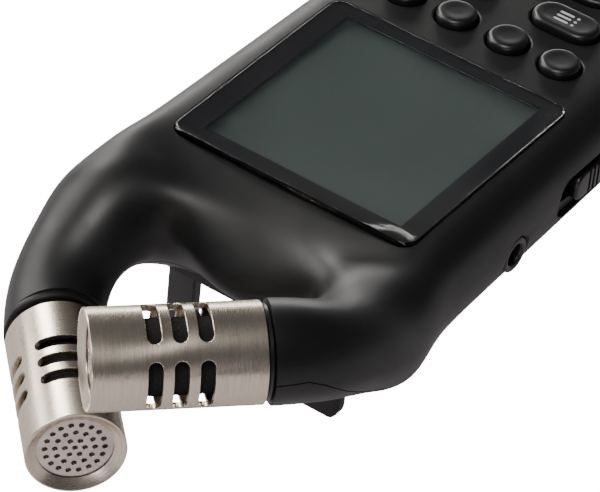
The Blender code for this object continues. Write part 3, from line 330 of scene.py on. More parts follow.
def joined(parts: Sequence[BMesh]) -> BMesh:
    """Several bmeshes as one, each still its own closed body. All of them are used up."""
    whole = bmesh.new()
    for part in parts:
        mesh = bpy.data.meshes.new("scratch")
        part.to_mesh(mesh)
        part.free()
        whole.from_mesh(mesh)
        bpy.data.meshes.remove(mesh)
    return whole


def ease(low: float, high: float, value: float) -> float:
    """0 below low, 1 above high, and smooth between them."""
    share = min(max((value - low) / (high - low), 0.0), 1.0)
    return share * share * (3 - 2 * share)


# ------------------------------------------------------------------------------------------- Finishes


class Graph:
    """Adds nodes to one node tree."""

    def __init__(self, tree: bpy.types.NodeTree) -> None:
        """Works on the given tree."""
        self.tree = tree

    def feed(self, node: bpy.types.Node, inputs: dict) -> bpy.types.Node:
        """Gives a node's named or numbered inputs values or other nodes' sockets, and returns it."""
        for key, value in inputs.items():
            if isinstance(value, bpy.types.NodeSocket):
                self.tree.links.new(value, node.inputs[key])
            else:
                node.inputs[key].default_value = value
        return node

    def add(self, kind: str, inputs: dict | None = None, **settings: object) -> bpy.types.Node:
        """Adds a node.

        Args:
            kind: The node's type, without its ShaderNode prefix.
            inputs: A value or another node's socket for each named or numbered input.
            settings: The node's own properties.

        Returns:
            The new node.
        """
        node = self.tree.nodes.new(f"ShaderNode{kind}")
        for name, value in settings.items():
            setattr(node, name, value)
        return self.feed(node, inputs or {})

    def math(self, operation: str, *values: object) -> bpy.types.NodeSocket:
        """The result of a Math node."""
        return self.add("Math", dict(enumerate(values)), operation=operation).outputs[0]

    def ramp(
        self, value: object, low: float, high: float, to_low: float = 0.0, to_high: float = 1.0
    ) -> bpy.types.NodeSocket:
        """A value mapped from one range to another, and held at its ends."""
        inputs = {0: value, 1: low, 2: high, 3: to_low, 4: to_high}
        return self.add("MapRange", inputs, clamp=True).outputs[0]

    def mix(self, share: object, first: object, second: object) -> bpy.types.NodeSocket:
        """A colour between two others."""
        node = self.add("Mix", {0: share, 6: first, 7: second}, data_type="RGBA")
        return node.outputs[2]

    def scaled(self, vector: object, x: float, y: float, z: float) -> bpy.types.NodeSocket:
        """A vector multiplied along each axis."""
        return self.add("VectorMath", {0: vector, 1: (x, y, z)}, operation="MULTIPLY").outputs[0]

    def noise(
        self, vector: object, scale: object, detail: float = 3.0, roughness: float = 0.5
    ) -> bpy.types.NodeSocket:
        """Fractal noise between 0 and 1."""
        inputs = {"Vector": vector, "Scale": scale, "Detail": detail, "Roughness": roughness}
        return self.add("TexNoise", inputs).outputs["Fac"]


class Effects:
    """Node groups that several finishes share. Each is built once."""

    _made: dict[str, bpy.types.NodeTree] = {}

    @classmethod
    def use(cls, graph: Graph, name: str, inputs: dict) -> bpy.types.Node:
        """Places a shared effect in a material.

        Args:
            graph: The material's graph.
            name: grain, handling or brushing.
            inputs: Values or sockets for the effect's inputs.

        Returns:
            The group node.
        """
        if name not in cls._made:
            cls._made[name] = getattr(cls, f"_{name}")()
        node = graph.add("Group")
        node.node_tree = cls._made[name]
        return graph.feed(node, inputs)

    @staticmethod
    def _tree(
        name: str, inputs: dict[str, float | None], outputs: Sequence[str]
    ) -> tuple[bpy.types.NodeTree, Graph, bpy.types.Node, bpy.types.Node]:
        """An empty group, its graph, and its input and output nodes. An input of None is a vector."""
        tree = bpy.data.node_groups.new(name, "ShaderNodeTree")
        for key, value in inputs.items():
            kind = "NodeSocketVector" if value is None else "NodeSocketFloat"
            socket = tree.interface.new_socket(name=key, in_out="INPUT", socket_type=kind)
            if value is not None:
                socket.default_value = value
        for key in outputs:
            tree.interface.new_socket(name=key, in_out="OUTPUT", socket_type="NodeSocketFloat")
        graph = Graph(tree)
        entry = tree.nodes.new("NodeGroupInput")
        leave = tree.nodes.new("NodeGroupOutput")
        return tree, graph, entry, leave

    @classmethod
    def _grain(cls) -> bpy.types.NodeTree:
        """Fine pebbled texture of a moulded surface. Size is the width of one grain."""
        inputs = {"Vector": None, "Size": 0.2}
        tree, graph, entry, leave = cls._tree("grain", inputs, ("Height", "Variation"))
        scale = graph.math("DIVIDE", 1.0, entry.outputs["Size"])
        cell_inputs = {"Vector": entry.outputs["Vector"], "Scale": scale, "Randomness": 1.0}
        cells = graph.add("TexVoronoi", cell_inputs, feature="F1")
        pebble = graph.ramp(cells.outputs["Distance"], 0.0, 0.75, 1.0, 0.0)
        broad = graph.noise(entry.outputs["Vector"], graph.math("MULTIPLY", scale, 0.45), 4.0, 0.6)
        height = graph.math("ADD", graph.math("MULTIPLY", pebble, 0.65), graph.math("MULTIPLY", broad, 0.7))
        tree.links.new(height, leave.inputs["Height"])
        tree.links.new(broad, leave.inputs["Variation"])
        return tree

    @classmethod
    def _handling(cls) -> bpy.types.NodeTree:
        """Broad faint smudges and specks of dust, as left by hands. Size is the width of one smudge."""
        inputs = {"Vector": None, "Size": 9.0}
        tree, graph, entry, leave = cls._tree("handling", inputs, ("Smudge", "Dust"))
        scale = graph.math("DIVIDE", 1.0, entry.outputs["Size"])
        smear = graph.noise(graph.scaled(entry.outputs["Vector"], 1.0, 0.55, 1.3), scale, 5.0, 0.62)
        tree.links.new(graph.ramp(smear, 0.38, 0.72), leave.inputs["Smudge"])
        speck_inputs = {"Vector": entry.outputs["Vector"], "Scale": 0.55, "Randomness": 1.0}
        specks = graph.add("TexVoronoi", speck_inputs, feature="F1")
        dust = graph.ramp(specks.outputs["Distance"], 0.03, 0.055, 1.0, 0.0)
        tree.links.new(dust, leave.inputs["Dust"])
        return tree

    @classmethod
    def _brushing(cls) -> bpy.types.NodeTree:
        """Fine parallel scratches that run along V. Width is that of one scratch."""
        inputs = {"Vector": None, "Width": 0.05}
        tree, graph, entry, leave = cls._tree("brushing", inputs, ("Height", "Tone"))
        scale = graph.math("DIVIDE", 1.0, entry.outputs["Width"])
        fine = graph.noise(graph.scaled(entry.outputs["Vector"], 1.0, 0.03, 1.0), scale, 4.0, 0.7)
        long = graph.noise(
            graph.scaled(entry.outputs["Vector"], 1.0, 0.012, 1.0), graph.math("MULTIPLY", scale, 0.3), 2.0
        )
        height = graph.math("ADD", graph.math("MULTIPLY", fine, 0.7), graph.math("MULTIPLY", long, 0.5))
        tree.links.new(height, leave.inputs["Height"])
        tree.links.new(graph.math("MULTIPLY", graph.math("ADD", fine, long), 0.5), leave.inputs["Tone"])
        return tree


@dataclass(frozen=True)
class Finish:
    """What every finish has: its colour and how it shines."""

    name: str
    colour: Colour
    roughness: float
    metallic: float = 0.0
    coat: float = 0.0
    specular: float = 0.5

    def material(self) -> bpy.types.Material:
        """The finish's material, built the first time it is asked for."""
        found = bpy.data.materials.get(self.name)
        if found:
            return found
        made = bpy.data.materials.new(self.name)
        made.use_nodes = True
        graph = Graph(made.node_tree)
        shader = made.node_tree.nodes["Principled BSDF"]
        shader.inputs["Base Color"].default_value = (*self.colour, 1.0)
        shader.inputs["Roughness"].default_value = self.roughness
        shader.inputs["Metallic"].default_value = self.metallic
        shader.inputs["Coat Weight"].default_value = self.coat
        shader.inputs["Specular IOR Level"].default_value = self.specular
        self.detail(graph, shader)
        return made

    def detail(self, graph: Graph, shader: bpy.types.Node) -> None:
        """Adds what makes the surface more than one colour."""
        raise NotImplementedError

    def tones(self, spread: float) -> tuple[tuple[float, ...], tuple[float, ...]]:
        """A darker and a lighter tone of the finish's colour."""
        darker = tuple(value * (1 - spread) for value in self.colour)
        lighter = tuple(min(value * (1 + spread), 1.0) for value in self.colour)
        return (*darker, 1.0), (*lighter, 1.0)


def case_coordinates(graph: Graph) -> bpy.types.NodeSocket:
    """Object coordinates turned into millimetres in the case's own frame."""
    inverse = CASE.to_world.inverted()
    position, turn, scale = inverse.decompose()
    inputs = {
        "Vector": graph.add("TexCoord").outputs["Object"],
        "Location": position,
        "Rotation": turn.to_euler(),
        "Scale": scale,
    }
    return graph.add("Mapping", inputs, vector_type="POINT").outputs[0]


def bumped(graph: Graph, shader: bpy.types.Node, height: bpy.types.NodeSocket, depth: float) -> None:
    """Gives a shader a bump of the given depth in millimetres."""
    bump = graph.add("Bump", {"Height": height, "Distance": depth * MM, "Strength": 1.0})
    graph.tree.links.new(bump.outputs[0], shader.inputs["Normal"])


@dataclass(frozen=True)
class Moulded(Finish):
    """Moulded plastic or rubber with a fine grain, smudges and a little dust."""

    grain: float = 0.22  # width of one grain
    depth: float = 0.006
    smudge: float = 0.06  # how much rougher or smoother a smudge is
    dust: float = 0.0

    def detail(self, graph: Graph, shader: bpy.types.Node) -> None:
        """Grain in the bump, smudges in the gloss, and both faintly in the colour."""
        coordinates = case_coordinates(graph)
        grain = Effects.use(graph, "grain", {"Vector": coordinates, "Size": self.grain})
        handling = Effects.use(graph, "handling", {"Vector": coordinates})
        darker, lighter = self.tones(0.16)
        colour = graph.mix(grain.outputs["Variation"], darker, lighter)
        if self.dust:
            specks = graph.math("MULTIPLY", handling.outputs["Dust"], self.dust)
            colour = graph.mix(specks, colour, (0.2, 0.19, 0.18, 1.0))
        graph.tree.links.new(colour, shader.inputs["Base Color"])
        low, high = self.roughness - self.smudge, self.roughness + self.smudge
        gloss = graph.ramp(handling.outputs["Smudge"], 0.0, 1.0, high, low)
        graph.tree.links.new(gloss, shader.inputs["Roughness"])
        bumped(graph, shader, grain.outputs["Height"], self.depth)


@dataclass(frozen=True)
class Brushed(Finish):
    """Brushed metal on a surface with its own UV map, in millimetres, with the scratches along V."""

    width: float = 0.055
    depth: float = 0.0035

    def detail(self, graph: Graph, shader: bpy.types.Node) -> None:
        """Scratches in tone, gloss and bump."""
        unrolled = graph.add("UVMap", uv_map="unrolled").outputs[0]
        brushing = Effects.use(graph, "brushing", {"Vector": unrolled, "Width": self.width})
        handling = Effects.use(graph, "handling", {"Vector": case_coordinates(graph), "Size": 7.0})
        darker, lighter = self.tones(0.2)
        tone = graph.ramp(brushing.outputs["Tone"], 0.3, 0.7)
        graph.tree.links.new(graph.mix(tone, darker, lighter), shader.inputs["Base Color"])
        rough, smooth = self.roughness + 0.07, self.roughness - 0.05
        streaks = graph.ramp(brushing.outputs["Tone"], 0.3, 0.7, rough, smooth)
        smudges = graph.math("MULTIPLY", handling.outputs["Smudge"], 0.05)
        graph.tree.links.new(graph.math("ADD", streaks, smudges), shader.inputs["Roughness"])
        shader.inputs["Anisotropic"].default_value = 0.45
        bumped(graph, shader, brushing.outputs["Height"], self.depth)


@dataclass(frozen=True)
class Stamped(Finish):
    """Plain sheet or turned metal: faint tool marks and slight tarnish."""

    marks: float = 0.3
    depth: float = 0.002

    def detail(self, graph: Graph, shader: bpy.types.Node) -> None:
        """Tool marks in gloss and bump, tarnish in the colour."""
        coordinates = case_coordinates(graph)
        grain = Effects.use(graph, "grain", {"Vector": coordinates, "Size": self.marks})
        handling = Effects.use(graph, "handling", {"Vector": coordinates, "Size": 3.0})
        darker, lighter = self.tones(0.14)
        tarnish = graph.mix(handling.outputs["Smudge"], lighter, darker)
        graph.tree.links.new(tarnish, shader.inputs["Base Color"])
        smooth, rough = self.roughness - 0.05, self.roughness + 0.07
        gloss = graph.ramp(grain.outputs["Variation"], 0.3, 0.7, smooth, rough)
        graph.tree.links.new(gloss, shader.inputs["Roughness"])
        bumped(graph, shader, grain.outputs["Height"], self.depth)


@dataclass(frozen=True)
class OpenFoam(Finish):
    """Open-cell foam whose colour is darker in the pores as painted shade and lighter on the struts as
    painted light.
    """

    pore: float = 0.35  # width of one pore
    depth: float = 0.15

    def detail(self, graph: Graph, shader: bpy.types.Node) -> None:
        """Painted shade in the pores and painted light on the struts in the colour, with the pores also in
        the bump.
        """
        coordinates = case_coordinates(graph)
        pores = graph.add("TexVoronoi", {"Vector": coordinates, "Scale": 1 / self.pore}, feature="F1")
        fine = graph.noise(coordinates, 3.5 / self.pore, 3.0, 0.7)
        wall = graph.ramp(pores.outputs["Distance"], 0.15, 0.8)
        strut = graph.math("MULTIPLY", wall, graph.ramp(fine, 0.3, 0.7))
        # painted shade and light: the foam's one colour, darkened in the pores and lightened on the struts
        # by the strut mask
        pore_shade = (*(value * 0.25 for value in self.colour), 1.0)
        light = (*(value * 2.6 for value in self.colour), 1.0)
        graph.tree.links.new(graph.mix(strut, pore_shade, light), shader.inputs["Base Color"])
        bumped(graph, shader, strut, self.depth)


@dataclass(frozen=True)
class Clear(Finish):
    """Clear acrylic, with faint wiping marks in its gloss."""

    def detail(self, graph: Graph, shader: bpy.types.Node) -> None:
        """Clear all through, with a gloss that varies a little."""
        shader.inputs["Transmission Weight"].default_value = 1.0
        shader.inputs["IOR"].default_value = 1.49
        handling = Effects.use(graph, "handling", {"Vector": case_coordinates(graph), "Size": 12.0})
        gloss = graph.ramp(handling.outputs["Smudge"], 0.0, 1.0, self.roughness, self.roughness + 0.015)
        graph.tree.links.new(gloss, shader.inputs["Roughness"])


@dataclass(frozen=True)
class Dots(Finish):
    """An unlit dot-matrix display: a soft reflective ground with a barely visible grid of dots."""

    pitch: float = 0.42

    def detail(self, graph: Graph, shader: bpy.types.Node) -> None:
        """The grid and a slow drift of tone in the colour."""
        coordinates = case_coordinates(graph)
        brick = graph.add(
            "TexBrick",
            {
                "Vector": coordinates,
                "Color1": (1, 1, 1, 1),
                "Color2": (1, 1, 1, 1),
                "Mortar": (0, 0, 0, 1),
                "Scale": 1.0,
                "Mortar Size": 0.035,
                "Mortar Smooth": 0.3,
                "Brick Width": self.pitch,
                "Row Height": self.pitch,
            },
            offset=0.0,
            squash=1.0,
        )
        drift = graph.noise(coordinates, 0.05, 2.0, 0.4)
        darker, lighter = self.tones(0.07)
        ground = graph.mix(graph.ramp(drift, 0.35, 0.65), darker, lighter)
        line = (*(value * 0.9 for value in self.colour), 1.0)
        graph.tree.links.new(graph.mix(brick.outputs["Color"], line, ground), shader.inputs["Base Color"])
        sheen = graph.noise(coordinates, 6.0, 2.0, 0.5)
        gloss = graph.ramp(sheen, 0.3, 0.7, self.roughness - 0.03, self.roughness + 0.03)
        graph.tree.links.new(gloss, shader.inputs["Roughness"])


@dataclass(frozen=True)
class Circuit(Finish):
    """Solder-masked board with faint tracks."""

    def detail(self, graph: Graph, shader: bpy.types.Node) -> None:
        """Tracks as slightly lighter raised lines."""
        coordinates = case_coordinates(graph)
        tracks = graph.add(
            "TexBrick",
            {
                "Vector": coordinates,
                "Color1": (0, 0, 0, 1),
                "Color2": (0.25, 0.25, 0.25, 1),
                "Mortar": (1, 1, 1, 1),
                "Scale": 1.0,
                "Mortar Size": 0.12,
                "Mortar Smooth": 0.1,
                "Brick Width": 3.1,
                "Row Height": 1.3,
            },
        ).outputs["Color"]
        darker, lighter = self.tones(0.35)
        graph.tree.links.new(graph.mix(tracks, darker, lighter), shader.inputs["Base Color"])
        bumped(graph, shader, tracks, 0.03)


@dataclass(frozen=True)
class Sleeve(Finish):
    """Printed plastic sleeve of a dry cell: a dark body with a coloured band at its positive end."""

    band: Colour = (0.75, 0.42, 0.1)

    def detail(self, graph: Graph, shader: bpy.types.Node) -> None:
        """The band by distance along the sleeve's UV map, with fine printing grain."""
        along = graph.add("SeparateXYZ", {0: graph.add("UVMap", uv_map="unrolled").outputs[0]}).outputs[0]
        grain = Effects.use(graph, "grain", {"Vector": case_coordinates(graph), "Size": 0.4})
        darker, lighter = self.tones(0.1)
        body = graph.mix(grain.outputs["Variation"], darker, lighter)
        share = graph.ramp(along, 30.0, 30.1)
        graph.tree.links.new(graph.mix(share, body, (*self.band, 1.0)), shader.inputs["Base Color"])
        gloss = graph.ramp(grain.outputs["Variation"], 0.3, 0.7, self.roughness, self.roughness + 0.08)
        graph.tree.links.new(gloss, shader.inputs["Roughness"])


class Slot(Enum):
    """The record's material slots."""

    CASE = "black_case"
    KEY = "black_key"
    RED = "red_key"
    WINDOW = "window"
    LCD = "lcd"
    HOLDER = "holder"
    BOARD = "board"
    MAT = "mat"
    NICKEL = "nickel"
    FOAM = "foam"
    STEEL = "steel"
    BRASS = "brass"
    RUBBER = "rubber"
    CELL = "cell"
    CARD = "card"


BLACK_CASE = Moulded("black_soft_touch", (0.006, 0.006, 0.0063), 0.4, specular=0.36, depth=0.006, dust=0.06)
BLACK_GLOSS = Moulded("black_satin", (0.006, 0.006, 0.0063), 0.33, grain=0.3, depth=0.003, smudge=0.04)
BLACK_PRINT = Moulded("black_print", (0.004, 0.004, 0.004), 0.3, grain=0.3, depth=0.001, smudge=0.02)
WHITE_PRINT = Moulded("white_print", (0.42, 0.46, 0.45), 0.5, grain=0.12, depth=0.004)
RED_KEY = Moulded("red_key", (0.42, 0.02, 0.018), 0.32, grain=0.3, depth=0.003, smudge=0.04)
GREY_KEY = Moulded("grey_moulding", (0.16, 0.16, 0.165), 0.5)
RUBBER = Moulded("black_rubber", (0.02, 0.02, 0.02), 0.82, grain=0.35, depth=0.015)
MAT = Moulded("silicone_mat", (0.28, 0.28, 0.29), 0.7, grain=0.4)
HOLDER = Moulded("white_moulding", (0.72, 0.72, 0.7), 0.5)
CARD = Moulded("card_plastic", (0.02, 0.02, 0.022), 0.4, grain=0.15)
NICKEL = Brushed("brushed_nickel", (0.66, 0.575, 0.475), 0.25, metallic=1.0)
NICKEL_PLAIN = Stamped("satin_nickel", (0.6, 0.51, 0.47), 0.3, metallic=1.0, marks=0.5)
STEEL = Stamped("stamped_steel", (0.56, 0.56, 0.55), 0.3, metallic=1.0)
DARK_SCREW = Stamped("blackened_steel", (0.06, 0.06, 0.062), 0.38, metallic=1.0, marks=0.25)
BRASS = Stamped("turned_brass", (0.72, 0.53, 0.25), 0.3, metallic=1.0)
GOLD = Stamped("gilt_contact", (0.83, 0.62, 0.28), 0.25, metallic=1.0)
FOAM = OpenFoam("open_foam", (0.006, 0.0057, 0.0054), 0.95)
PANE = Clear("clear_acrylic", (1.0, 1.0, 1.0), 0.012)
LCD = Dots("unlit_display", (0.078, 0.104, 0.095), 0.32)
BOARD = Circuit("green_board", (0.012, 0.1, 0.045), 0.4)
SLEEVE = Sleeve("cell_sleeve", (0.015, 0.03, 0.07), 0.28)


# ----------------------------------------------------------------------------------------- Placement


@dataclass(frozen=True)
class CaseFrame:
    """Where the case's own millimetre frame lies in the model's frame."""

    to_world: Matrix

    HINGE = Vector((0.0, -27.2, -18.0))  # the stand's hinge line, in the case's frame

    @classmethod
    def from_joints(cls, joints: Sequence[dict]) -> "CaseFrame":
        """Works the frame out from the first key's travel and the stand's hinge."""
        named = {joint["name"]: joint for joint in joints}
        out = -Vector(named["function_1_press"]["axis"]).normalized()
        right = Vector((1.0, 0.0, 0.0))
        turn = Matrix((right, out.cross(right), out)).transposed()
        origin = Vector(named["stand_fold"]["pos_m"]) - turn @ (cls.HINGE * MM)
        to_world = Matrix.Translation(origin) @ turn.to_4x4() @ Matrix.Scale(MM, 4)
        return cls(to_world)

    def middle(self, node: str) -> Vector:
        """Middle of a node of the model, in the case's frame."""
        inverse = self.to_world.inverted()
        points = [inverse @ vertex.co for vertex in frame["nodes"][node].data.vertices]
        return Vector([(min(values) + max(values)) / 2 for values in zip(*points)])


CASE = CaseFrame.from_joints(frame["joints"])


class Bench:
    """Stores finished shapes as pieces of the object."""

    ON_SURFACE = 0.02  # millimetres within which a point lies on the surface whose normals it takes
    SAME_WAY = 0.95  # least cosine between a face and the normal that it takes

    @staticmethod
    def add(
        name: str,
        bm: BMesh,
        finish: Finish,
        body: str,
        nodes: Sequence[str],
        slot: Slot,
        place: Matrix = Matrix(),
        sharp: float = 35.0,
        surface: BMesh | None = None,
    ) -> bpy.types.Object:
        """Stores one piece in the model's frame.

        Args:
            name: The piece's name.
            bm: Its shape in millimetres, which is used up.
            finish: What it is made of.
            body: The body that it moves with.
            nodes: The nodes of the model that it stands for.
            slot: The record's material slot; not used.
            place: Where the shape lies in the case's frame.
            sharp: Angle in degrees above which an edge is drawn sharp.
            surface: The uncut smooth surface, in the same place, whose normals the piece takes over.

        Returns:
            The new object.
        """
        mesh = bpy.data.meshes.new(name)
        bm.to_mesh(mesh)
        bm.free()
        mesh.shade_smooth()
        mesh.set_sharp_from_angle(angle=math.radians(sharp))
        if surface:
            Bench.take_normals(mesh, surface)
        mesh.transform(CASE.to_world @ place)
        mesh.materials.append(finish.material())
        made = bpy.data.objects.new(name, mesh)
        bpy.context.scene.collection.objects.link(made)
        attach(made, body)
        if nodes:
            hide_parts(*nodes)
        log.info("%s: %d faces", name, len(mesh.polygons))
        return made

    @staticmethod
    def take_normals(mesh: bpy.types.Mesh, surface: BMesh) -> None:
        """Gives the parts of a mesh that lie on a smooth surface that surface's own normals.

        Args:
            mesh: The cut mesh.
            surface: The uncut surface.
        """
        surface.normal_update()
        surface.faces.ensure_lookup_table()
        tree = BVHTree.FromBMesh(surface)
        normals = [Vector(corner.vector) for corner in mesh.corner_normals]
        for polygon in mesh.polygons:
            for loop in polygon.loop_indices:
                point = mesh.vertices[mesh.loops[loop].vertex_index].co
                near, _, index, distance = tree.find_nearest(point)
                if distance > Bench.ON_SURFACE:
                    continue
                verts = surface.faces[index].verts
                weights = poly_3d_calc([vert.co for vert in verts], near)
                normal = sum((vert.normal * share for vert, share in zip(verts, weights)), Vector())
                if normal.normalized().dot(polygon.normal) > Bench.SAME_WAY:
                    normals[loop] = normal.normalized()
        mesh.normals_split_custom_set([normal[:] for normal in normals])

    @staticmethod
    def dress(finish: Finish, *nodes: str) -> None:
        """Gives nodes of the model, kept as they are, a finish."""
        for node in nodes:
            kept = frame["nodes"][node]
            kept.data.materials.clear()
            kept.data.materials.append(finish.material())
            log.info("%s: kept, %s", node, finish.name)


# ---------------------------------------------------------------------------------------------- Case


@dataclass
class CaseShells:
    """The two shells that hold everything, and the battery cover that slides off the back."""

    half_width: float = 29.9
    taper: float = 0.022  # how much narrower the case gets in each millimetre towards the tail
    flank_inset: float = 0.65  # from the half-width to the flank near mid-height
    depth: float = 20.0
    tail: float = -124.6
    nose: float = -34.0
    wall: float = 1.8
    seam: float = -15.5
    seam_gap: float = 0.2
    seam_run: float = 32.0  # how far before the barrels the seam starts to rise and drop
    seam_cross: float = 8.0  # how far either side of the middle it crosses from one arm's to the other's
    arm_radius: float = 7.75
    arm_x: float = 24.0
    arm_bend: float = 15.0
    arm_swell: float = 1.6  # how much thicker an arm is where it leaves the case
    arm_past: float = 6.0  # how far the cage runs on past the barrel's base
    barrel_x: float = 17.98
    high_z: float = -1.82
    low_z: float = -19.75
    high_turn: tuple[float, float] = (-26.0, -1.0)
    low_turn: tuple[float, float] = (-20.0, 0.0)
    web: tuple[float, float, float] = (0.0, -12.0, -14.6)
    neck_y: float = -28.5
    neck_swell: float = 0.9
    detail: int = 3  # subdivisions of the outer surface

    UPPER = ((10.5, 0.0), (4.5, 0.0), (0.4, 3.8), (0.0, 11.0))  # in from the flank, down from the top
    LOWER = ((3.5, 2.4), (11.5, 0.0), (19.0, 0.0))  # in from the flank, up from the bottom
    TAIL_RINGS = ((-0.4, 7.0, 4.6), (0.6, 1.6, 1.3), (7.0, 0.0, 0.0))  # along, narrower, thinner
    BODY_RINGS = (-80.0, -46.0)
    NECK_PULLS = {0: (2.0, -4.2), 1: (0.6, -1.6), 15: (0.6, -1.6), 8: (2.0, 0.9)}  # along and up, by point
    ARM_ROOTS = ((-22.5, 1.7, 0.4), (-17.0, 0.0, 0.0))  # along, in from the arm's line, wider than high

    def half(self, y: float) -> float:
        """Half-width of the case."""
        return self.half_width - self.taper * (self.nose - y)

    def side_x(self, y: float) -> float:
        """Distance of the flank from the middle, near mid-height."""
        return self.half(y) - self.flank_inset

    def ring(self, y: float, half: float, top: float, bottom: float) -> list[Vector]:
        """Sixteen control points round the case, from the top centre round by the +X side."""
        side = [(half - inward, top - down) for inward, down in self.UPPER]
        side += [(half - inward, bottom + up) for inward, up in self.LOWER]
        right = [Vector((x, y, z)) for x, z in side]
        left = [Vector((-x, y, z)) for x, z in reversed(side)]
        return [Vector((0, y, top)), *right, Vector((0, y, bottom)), *left]

    def arm_height(self, y: float, end_z: float) -> float:
        """Height of an arm's centre line."""
        middle = -self.depth / 2
        start, end = self.high_turn if end_z > middle else self.low_turn
        return middle + (end_z - middle) * ease(start, end, y)

    @staticmethod
    def arm_ring(side: int, centre: Vector, turn: float, width: float, height: float) -> list[Vector]:
        """Ten control points round an arm.

        Args:
            side: Which arm.
            centre: Middle of the ring on the +X side; the other arm's is mirrored.
            turn: Radians that the centre line points inward from +Y.
            width: Half-width of the arm.
            height: Half-height of the arm.

        Returns:
            The points, which lie further out than the arm, because subdivision draws them in.
        """
        outward = Vector((side * math.cos(turn), math.sin(turn), 0))
        centre = Vector((side * centre.x, centre.y, centre.z))
        swell = 6 / (4 + 2 * math.cos(math.tau / 10))
        points = []
        for step in range(10):
            angle = math.radians(144 - 36 * step)
            across = outward * (width * swell * math.cos(angle))
            points.append(centre + across + Vector((0, 0, height * swell * math.sin(angle))))
        return points

    def arm_rings(self, side: int, end_z: float, inset: float) -> list[list[Vector]]:
        """Control rings of one arm, from the case to a little past the barrel's base."""
        radius = self.arm_radius - inset
        root = math.sqrt(0.5)
        stub = (self.arm_x - self.barrel_x - self.arm_bend * (1 - root)) / root
        bend_y = -self.arm_bend * root - stub * root
        rings = []
        for (y, inward, wider), swell in zip(self.ARM_ROOTS, (self.arm_swell, 0.6)):
            centre = Vector((self.arm_x - inward, y, self.arm_height(y, end_z)))
            rings.append(self.arm_ring(side, centre, 0, radius + swell + wider, radius + swell))
        for share in (0.0, 0.5, 1.0):
            turn = math.pi / 4 * share
            x = self.arm_x - self.arm_bend * (1 - math.cos(turn))
            y = bend_y + self.arm_bend * math.sin(turn)
            centre = Vector((x, y, self.arm_height(y, end_z)))
            rings.append(self.arm_ring(side, centre, turn, radius, radius))
        past = self.arm_past * root
        centre = Vector((self.barrel_x - past, past, end_z))
        rings.append(self.arm_ring(side, centre, math.pi / 4, radius, radius))
        return rings

    @staticmethod
    def grown(bm: BMesh, loop: list[BMVert], places: Sequence[Vector]) -> list[BMVert]:
        """Extrudes a closed loop of vertices to new places.

        Args:
            bm: The cage.
            loop: The vertices, each joined to the next by an edge.
            places: Where their copies go.

        Returns:
            The copies, in the same order.
        """
        edges = [bm.edges.get((first, second)) for first, second in zip(loop, [*loop[1:], loop[0]])]
        fresh = set(new_verts(bmesh.ops.extrude_edge_only(bm, edges=edges)["geom"]))
        copies = []
        for vert, place in zip(loop, places):
            copy = next(edge.other_vert(vert) for edge in vert.link_edges if edge.other_vert(vert) in fresh)
            copy.co = place
            copies.append(copy)
        return copies

    def cage(self, inset: float) -> BMesh:
        """Control cage of the case and both arms; inset moves it inward by a wall."""
        top, bottom = -inset, inset - self.depth
        tail = self.tail + inset
        rings = []
        for along, narrower, thinner in self.TAIL_RINGS:
            y = tail + along
            half = self.half(y) - inset - narrower
            rings.append(self.ring(y, half, top - thinner, bottom + thinner))
        for y in (*self.BODY_RINGS, self.nose):
            rings.append(self.ring(y, self.half(y) - inset, top, bottom))
        neck = self.ring(self.neck_y, self.half(self.neck_y) + self.neck_swell - inset, top, bottom)
        for index, (pull, dip) in self.NECK_PULLS.items():
            neck[index] += Vector((0, pull, dip))
        rings.append(neck)

        bm = bmesh.new()
        loop = [bm.verts.new(point) for point in rings[0]]
        for first, second in zip(loop, [*loop[1:], loop[0]]):
            bm.edges.new((first, second))
        for ring in rings[1:]:
            loop = self.grown(bm, loop, ring)
        web = bm.verts.new(Vector(self.web) - Vector((0, 1.2 * inset, 0)))
        bm.edges.new((loop[8], web))
        bm.edges.new((web, loop[0]))
        halves = ((1, self.low_z, loop[:9]), (-1, self.high_z, [loop[0], *loop[:7:-1]]))
        for side, end_z, half_loop in halves:
            arm = [*half_loop, web]
            for ring in self.arm_rings(side, end_z, inset):
                arm = self.grown(bm, arm, ring)
        capped(bm)
        bmesh.ops.recalc_face_normals(bm, faces=bm.faces)
        return bm

    def seam_height(self, x: float, y: float) -> float:
        """Height of the line where the shells meet: it rises into one arm and drops into the other."""
        share = min(max((y + self.seam_run) / self.seam_run, 0.0), 1.0) ** 2
        across = min(max((x + self.seam_cross) / (2 * self.seam_cross), 0.0), 1.0)
        end_z = self.high_z + (self.low_z - self.high_z) * across
        return self.seam + (end_z - self.seam) * share

    def seam_block(self, far_z: float, offset: float) -> BMesh:
        """Everything on one side of the seam, out to the height far_z."""
        width, length, middle = 100.0, 180.0, -60.0
        bm = bmesh.new()
        bmesh.ops.create_grid(bm, x_segments=50, y_segments=80, size=0.5)
        bmesh.ops.scale(bm, vec=(width, length, 1.0), verts=bm.verts)
        shifted(bm, 0, middle)
        raised = set(new_verts(bmesh.ops.extrude_face_region(bm, geom=bm.faces[:])["geom"]))
        for vert in bm.verts:
            vert.co.z = far_z if vert in raised else self.seam_height(vert.co.x, vert.co.y) + offset
        return sealed(bm)

    def flank(self, bm: BMesh, side: int, y: float, z: float, lift: float = 0.0) -> BMesh:
        """A shape drawn with +Z out of the case, moved onto a flank, with its X along the case's depth."""
        place = Matrix.Translation((side * (self.side_x(y) + lift), y, z))
        return placed(bm, place @ Matrix.Rotation(side * QUARTER, 4, "Y"))

